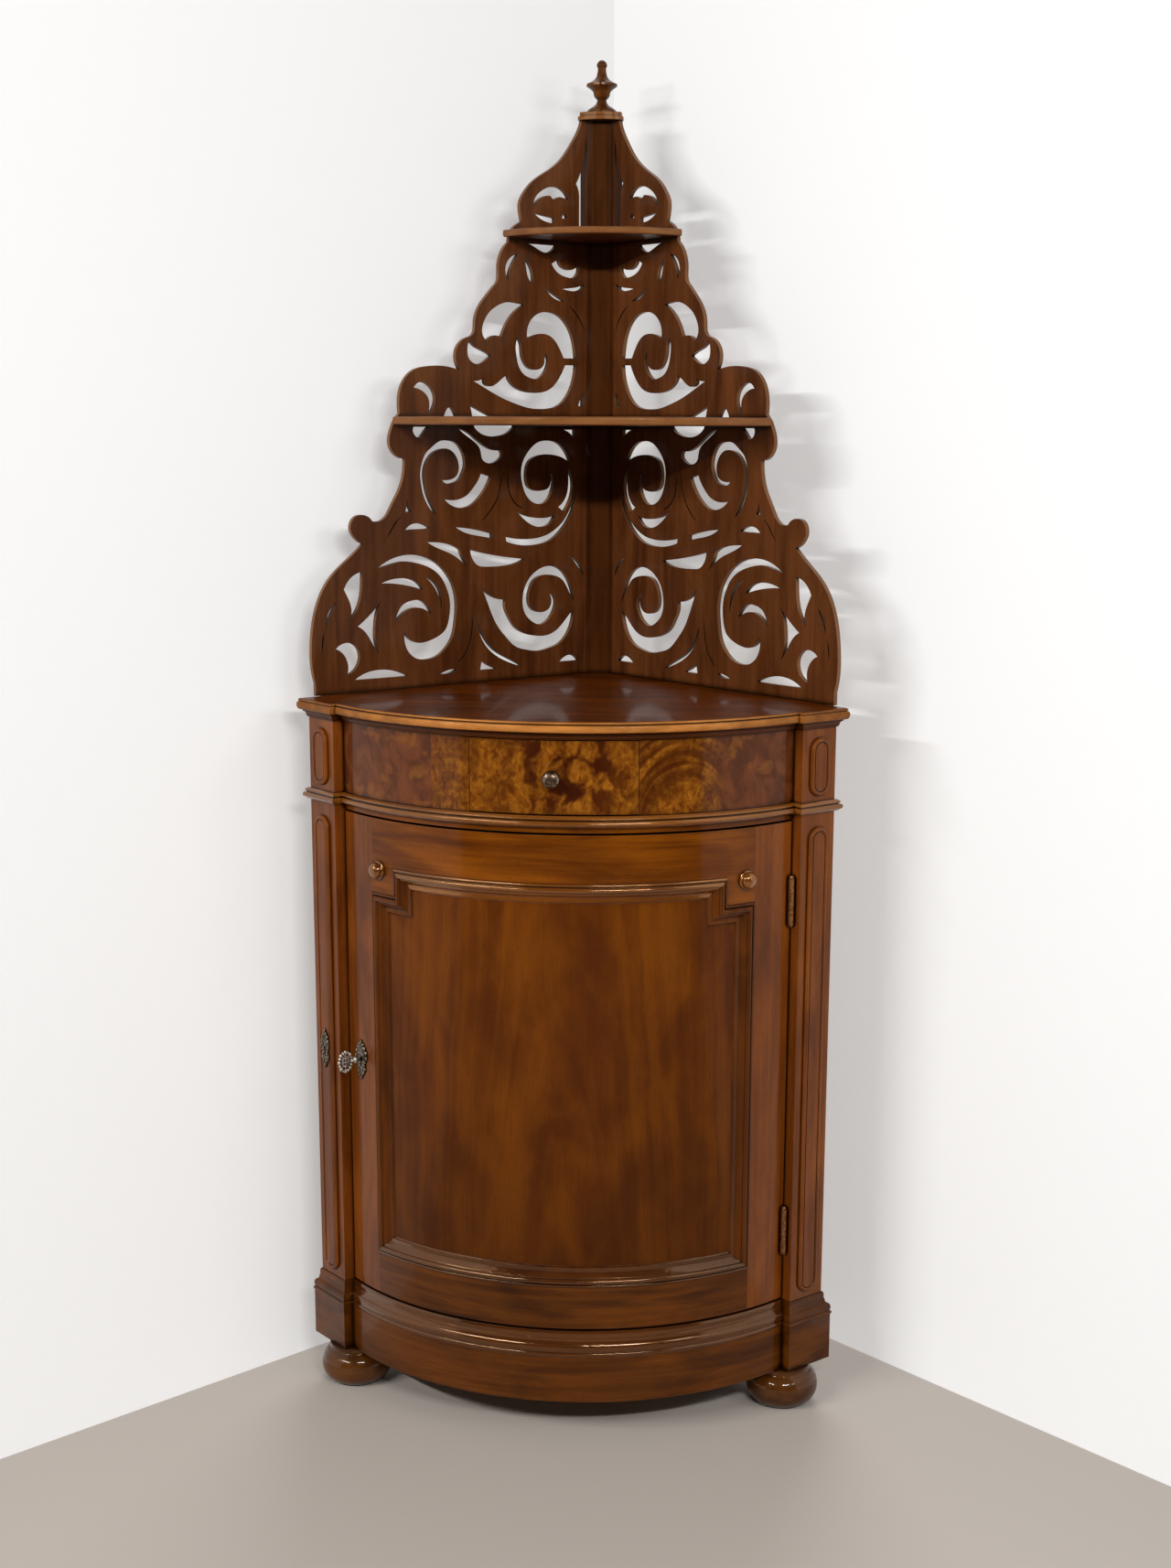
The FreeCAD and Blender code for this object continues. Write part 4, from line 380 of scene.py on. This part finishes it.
# Each finish, with the pieces that have it
FINISHES = [
    # walnut reads as a warm red brown with darker fibre lines, and shellac gives it soft clear highlights;
    # the uprights have faded paler than the rails, and the plinth is darker
    (walnut("shellac_walnut_upright", "upright", "#5b2a08", "#8e4c17", soft=0.7, crease=5.0),
     ["left_pilaster", "right_pilaster", "door_lock_stile", "door_hinge_stile"]),
    (walnut("shellac_walnut_rail", "bow", "#4d2001", "#8c4a06"),
     ["door_top_rail", "waist_rail"]),
    (walnut("shellac_walnut_plinth", "bow", "#2b1001", "#6e3908", gloss=0.28),
     ["plinth_bow", "left_plinth_block", "right_plinth_block", "door_bottom_rail"]),
    (walnut("shellac_walnut_foot", "bow", "#3a1c05", "#66390f", gloss=0.55),
     ["left_front_foot", "right_front_foot", "rear_foot"]),
    # the mouldings and bosses are dark in their quirks from painted shade and grime, the upright mouldings are
    # painted darker as shade, and all catch thin bright lights on their beads
    (walnut("shellac_walnut_upright_bead", "upright", "#381504", "#62300b",
            soft=0.4, crease=4.0, gloss=0.06, shine=0.4, rough=0.16),
     ["panel_moulding_left", "panel_moulding_right"]),
    (walnut("shellac_walnut_bead", "bow", "#4a1f05", "#7a420f", **LUSTRE),
     ["panel_moulding_top"]),
    (walnut("shellac_walnut_low_bead", "bow", "#331404", "#592c0a", **BEAD),
     ["panel_moulding_bottom", "plinth_moulding"]),
    # the waist moulding is painted lighter than the rail: painted light from above on a projecting moulding,
    # and worn polish
    (walnut("shellac_walnut_waist", "bow", "#63330a", "#90561e", **BEAD),
     ["waist_moulding"]),
    (walnut("shellac_walnut_cornice", "bow", "#331404", "#562909", gloss=0.12, soft=0.5, crease=4.0),
     ["cornice_moulding"]),
    (walnut("shellac_walnut_boss", "bow", "#4a220a", "#7a4418", **LUSTRE),
     ["door_bosses"]),
    # the boards are dark with soft reflections on top, and their edges are rubbed to a golden brown and
    # painted lighter as lit, palest at the middle of the front
    (walnut("shellac_walnut_top", "level", "#3a1500", "#703405", "#cc8540", UP,
            ends=0.45, gloss=0.22, worn="#b07c40", soft=0.5, crease=4.0, shine=0.02),
     ["top_board"]),
    (walnut("shellac_walnut_shelf", "level", "#451d05", "#7a4418", "#8a5a34", UP, gloss=0.20, worn="#a8794e"),
     ["middle_shelf", "upper_shelf", "cap"]),
    # the stand is the least polished: a dull brown, with its sawn edges painted paler as lit from the sides
    (walnut("shellac_walnut_left_fretwork", "upright", "#43200c", "#6f3f1f", "#8a6244", ACROSS, **MATT),
     ["left_fret_panel"]),
    (walnut("shellac_walnut_right_fretwork", "upright", "#43200c", "#6f3f1f", "#8a6244", OUTWARD, **MATT),
     ["right_fret_panel"]),
    (walnut("shellac_walnut_post", "upright", "#2b1104", "#50280e", **MATT),
     ["corner_post"]),
    (walnut("shellac_walnut_finial", "bow", "#44200a", "#744318", **MATT),
     ["finial"]),
    # the frieze is the liveliest wood: golden figure with dark blotches, and dull purple brown at its ends
    (burl_veneer("shellac_burl_left", (-172.0, -170.5), (-140.0, 830.0), 0.50, (-150.0, 930.0), 0.45),
     ["left_frieze_panel"]),
    (burl_veneer("shellac_burl_drawer", (-160.0, -150.0), (10.0, 1040.0), 0.25, (18.0, 944.0), 1.0),
     ["drawer_front"]),
    (burl_veneer("shellac_burl_right", (246.0, 212.0), (176.0, 868.0), 0.85, (205.0, 900.0), 0.55),
     ["right_frieze_panel"]),
    # the door's panel is a quiet cloudy brown that darkens downwards
    (panel_veneer("shellac_flat_sawn_veneer"),
     ["door_panel"]),
    # inside and behind, the wood is pale, dry and dusty
    (bare_softwood("bare_poplar_upright", "upright"),
     ["left_back_board", "right_back_board", "rear_corner_stile", "panel_dowels"]),
    (bare_softwood("bare_poplar_level", "level"),
     ["bottom_board", "inner_shelf", "dust_board", "shelf_battens", "left_drawer_runner",
      "right_drawer_runner", "drawer_left_side", "drawer_right_side", "drawer_back", "drawer_bottom"]),
    # the plates are grey brown with black hollows of tarnish and painted shade, the hinges a dull brown, the
    # lock dark grey, the knob a warm grey, and the key the brightest metal
    (old_metal("tarnished_cast_brass", "#a39482", "#241d17", 0.42, 1.6, 0.35),
     ["door_escutcheon", "pilaster_escutcheon"]),
    (old_metal("dark_drawn_brass", "#a8754a", "#6a4022", 0.45, 4.0, 0.05),
     ["hinge_frame_leaves", "hinge_door_leaves", "hinge_pins"]),
    (old_metal("worn_forged_iron", "#4d4844", "#1f1a17", 0.5, 5.0, 0.1),
     ["strike_plate", "lock_case", "lock_bolt", "shelf_screws"]),
    (old_metal("patinated_cast_metal", "#8a7460", "#33261b", 0.28, 2.2, 0.2),
     ["drawer_knob"]),
    (old_metal("rubbed_silvered_metal", "#e2dad0", "#9c9084", 0.42, 2.2, 0.2),
     ["key"]),
]
for finish, names in FINISHES:
    for name in names:
        nodes[name].data.materials.clear()
        nodes[name].data.materials.append(finish)


# Cast ornament of the lock, on plates that face outward
PLATE_TURN = Matrix((ACROSS, OUTWARD, UP)).transposed().to_4x4()
KEY_PLACE = Vector((-286.574, -161.265, 501.5)) * MM


def spot(middle, across, out, up):
    """Place on a lock piece, by millimetres from its middle."""
    return middle + (ACROSS * across + OUTWARD * out + UP * up) * MM


def placed(place, across, out, up):
    """Matrix that gives a form of size one these sizes, in millimetres, and sets it on a lock piece."""
    size = Matrix.Diagonal((across * MM, out * MM, up * MM, 1))
    return Matrix.Translation(place) @ PLATE_TURN @ size


def bead(form, place, across, out, up):
    """Rounded bead with these half sizes, in millimetres."""
    bmesh.ops.create_icosphere(form, subdivisions=2, radius=1.0, matrix=placed(place, across, out, up))


def linked(name, form):
    """Object at the origin, made of a finished form."""
    mesh = bpy.data.meshes.new(name)
    form.to_mesh(mesh)
    form.free()
    piece = bpy.data.objects.new(name, mesh)
    scene.collection.objects.link(piece)
    return piece


def finished(name, form, body, finish):
    """Smooth piece of ornament that rides a body and has a finish."""
    bmesh.ops.recalc_face_normals(form, faces=form.faces[:])
    for face in form.faces:
        face.smooth = True
    piece = linked(name, form)
    piece.data.materials.append(finish)
    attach(piece, body)
    return piece


# Half of a plate's relief: distance from its middle line, height, and half sizes of each bead
RELIEF = [
    (0, 25, 2.6, 3.0), (4.5, 21, 2.6, 2.6), (8, 16, 3.0, 3.4), (11, 10, 3.2, 3.6), (12.5, 3, 2.6, 3.2),
    (9.5, -3, 2.4, 2.6), (7.5, -8.5, 2.2, 2.8), (8.5, -14, 2.6, 2.8), (6, -19, 2.4, 2.6), (3, -23, 2.2, 2.6),
    (0, -27, 2.2, 2.8), (0, 18, 2.2, 3.4), (4.2, 13, 1.8, 2.8), (7.0, 6, 1.6, 3.0), (3.4, -17, 1.6, 3.2),
]
RELIEF_LIFT = 0.4
RELIEF_RISE = 1.9


def plate_relief(name, node, body, narrowed, finish):
    """Cast relief on a keyhole plate: beads that follow its lobed rim, and smaller ones round the keyhole."""
    low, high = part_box(node)
    middle = (Vector(low) + Vector(high)) / 2
    form = bmesh.new()
    for across, up, wide, tall in RELIEF:
        for hand in (-1, 1) if across else (1,):
            place = spot(middle, hand * across * narrowed, RELIEF_LIFT, up)
            bead(form, place, wide * narrowed, RELIEF_RISE, tall)
    finished(name, form, body, finish)


# The key, in millimetres: its turned shank as distance along the axis and radius, its bit, and its oval bow
SHANK = [
    (-25, 0), (-25, 2.4), (-24.6, 2.7), (9.4, 2.7), (10, 4.4), (11.5, 5), (13, 4.4), (13.6, 2.9), (17, 2.4),
    (17.4, 0),
]
SHANK_STEPS = 24
BIT_ALONG = -20.4
BIT_DROP = -5
BIT_SIZE = (2.5, 6, 10)
BIT_ARRIS = 0.4
BOW_ALONG = 27
BOW_WIDE = 10.0
BOW_TALL = 13.6
BOW_BEADS = 16


def beaded_key(finish):
    """Key with a cast openwork bow: a beaded oval rim round upright bars, on a turned shank with a bit."""
    form = bmesh.new()
    points = [form.verts.new(spot(KEY_PLACE, radius, along, 0)) for along, radius in SHANK]
    profile = [form.edges.new(pair) for pair in zip(points, points[1:])]
    bmesh.ops.spin(
        form, geom=points + profile, cent=KEY_PLACE, axis=OUTWARD, angle=2 * math.pi, steps=SHANK_STEPS,
        use_merge=True)
    bmesh.ops.remove_doubles(form, verts=form.verts[:], dist=0.00001)

    bit = placed(spot(KEY_PLACE, 0, BIT_ALONG, BIT_DROP), *BIT_SIZE)
    corners = bmesh.ops.create_cube(form, size=1.0, matrix=bit)["verts"]
    arrises = list({edge for corner in corners for edge in corner.link_edges})
    bmesh.ops.bevel(
        form, geom=arrises, offset=BIT_ARRIS * MM, affect="EDGES", segments=2, profile=0.5, material=-1)

    middle = spot(KEY_PLACE, 0, BOW_ALONG, 0)
    for step in range(BOW_BEADS):
        angle = step * 2 * math.pi / BOW_BEADS
        size = 2.5 if step % 2 == 0 else 1.9
        place = spot(middle, 0, BOW_WIDE * math.cos(angle), BOW_TALL * math.sin(angle))
        bead(form, place, 2.3, size, size * 1.25)
    for along, tall in ((-4.2, 9.5), (0.0, 12.0), (4.2, 9.5)):
        bead(form, spot(middle, 0, along, 0), 1.7, 1.3, tall)
    for up in (-5.5, 0.0, 5.5):
        bead(form, spot(middle, 0, 0, up), 2.5, 5.0, 1.3)
    piece = finished("beaded_key", form, "key", finish)
    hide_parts("key")


cast_brass = nodes["door_escutcheon"].data.materials[0]
plate_relief("door_plate_relief", "door_escutcheon", "door", 1.0, cast_brass)
plate_relief("pilaster_plate_relief", "pilaster_escutcheon", "carcass", 0.7, cast_brass)
beaded_key(nodes["key"].data.materials[0])


# Stage: a pale floor, and two pale walls that only the eye and reflections see, from inside

def sheet(name, corners, finish):
    """Flat stage piece over four corners."""
    form = bmesh.new()
    form.faces.new([form.verts.new(corner) for corner in corners])
    piece = linked(name, form)
    piece.data.materials.append(finish)


def wall_paint():
    """Matt white emulsion: even and pale, with only the cabinet's shadow on it."""
    material = started("matt_white_wall_paint")
    tree = material.node_tree
    rays = add(tree, "ShaderNodeLightPath").outputs
    seen = sums(tree, "MAXIMUM", rays["Is Camera Ray"], rays["Is Glossy Ray"])
    seen = sums(tree, "MAXIMUM", seen, rays["Is Transmission Ray"])
    back = add(tree, "ShaderNodeNewGeometry").outputs["Backfacing"]
    share = sums(tree, "MULTIPLY", seen, sums(tree, "SUBTRACT", 1.0, back))
    matt = add(tree, "ShaderNodeBsdfDiffuse", {"Color": linear("#e4e4e4")}).outputs[0]
    glow = add(tree, "ShaderNodeEmission", {"Color": linear("#ffffff"), "Strength": 0.34}).outputs[0]
    both = add(tree, "ShaderNodeAddShader", {0: matt, 1: glow}).outputs[0]
    clear = add(tree, "ShaderNodeBsdfTransparent").outputs[0]
    mixed = add(tree, "ShaderNodeMixShader", {0: share, 1: clear, 2: both}).outputs[0]
    return closed(material, mixed)


def floor_stone():
    """Pale honed stone: even, matt, with the cabinet's shadow."""
    material = started("pale_honed_stone")
    surface = add(material.node_tree, "ShaderNodeBsdfPrincipled", {
        "Base Color": linear("#cdc3b9"), "Roughness": 0.6,
    })
    return closed(material, surface.outputs[0])


# the walls stand a little clear of the cabinet, as they do in the photograph
CORNER = Vector((0, 0.441, 0))
WALL_LENGTH = 4.5
LEFT_END = CORNER + Vector((-0.646, -0.763, 0)) * WALL_LENGTH
RIGHT_END = CORNER + Vector((0.738, -0.675, 0)) * WALL_LENGTH
WALL_RISE = Vector((0, 0, 3.4))
FLOOR_REACH = 8
paint = wall_paint()
sheet("left_wall", [LEFT_END, CORNER, CORNER + WALL_RISE, LEFT_END + WALL_RISE], paint)
sheet("right_wall", [CORNER, RIGHT_END, RIGHT_END + WALL_RISE, CORNER + WALL_RISE], paint)
floor_corners = [(x * FLOOR_REACH, y * FLOOR_REACH, 0) for x, y in ((-1, -1), (1, -1), (1, 1), (-1, 1))]
sheet("floor", floor_corners, floor_stone())


# Light: two long soft lamps in front like windows, others at the right and behind, and a dim even world

def lamp(name, place, aim, wide, tall, watts):
    """Soft rectangular lamp that faces its aim."""
    light = bpy.data.lights.new(name, "AREA")
    light.shape = "RECTANGLE"
    light.size = wide
    light.size_y = tall
    light.energy = watts
    piece = bpy.data.objects.new(name, light)
    way = (Vector(aim) - Vector(place)).to_track_quat("-Z", "Y")
    piece.matrix_world = Matrix.Translation(place) @ way.to_matrix().to_4x4()
    scene.collection.objects.link(piece)


lamp("left_window", (-2.2, -2.75, 2.5), (0, -0.1, 0.95), 2.3, 0.09, 74)
lamp("right_window", (1.25, -3.25, 2.5), (0, -0.1, 0.95), 1.4, 0.09, 58)
lamp("right_lamp", (2.8, -1.8, 2.3), (0, 0, 0.9), 1.8, 0.5, 20)
lamp("rear_lamp", (0.0, 3.2, 2.4), (0, 0.2, 0.9), 2.0, 2.0, 40)
world = bpy.data.worlds.new("dim_room")
world.use_nodes = True
background = world.node_tree.nodes["Background"]
background.inputs["Color"].default_value = linear("#f4f2ee")
background.inputs["Strength"].default_value = 0.10
scene.world = world
scene.view_settings.view_transform = "Standard"

# Camera, solved from the photograph for an image of 1280 by 1714; its angles are radians
IMAGE_HEIGHT = 1714
FOCAL_PIXELS = 2282.15
SHIFT_PIXELS = (-20.4, 93.2)
SENSOR = 36.0
EYE_PLACE = (0.35381, -2.93162, 1.36703)
EYE_YAW = 0.1073
EYE_TILT = 0.2066
EYE_ROLL = 0.0045
camera = bpy.data.cameras.new("photo_view")
camera.sensor_fit = "VERTICAL"
camera.sensor_height = SENSOR
camera.lens = FOCAL_PIXELS * SENSOR / IMAGE_HEIGHT
camera.shift_x = SHIFT_PIXELS[0] / IMAGE_HEIGHT
camera.shift_y = SHIFT_PIXELS[1] / IMAGE_HEIGHT
eye = bpy.data.objects.new("photo_view", camera)
turn = Matrix.Rotation(EYE_YAW, 4, "Z")
turn = turn @ Matrix.Rotation(math.pi / 2 - EYE_TILT, 4, "X")
turn = turn @ Matrix.Rotation(EYE_ROLL, 4, "Z")
eye.matrix_world = Matrix.Translation(EYE_PLACE) @ turn
scene.collection.objects.link(eye)
scene.camera = eye
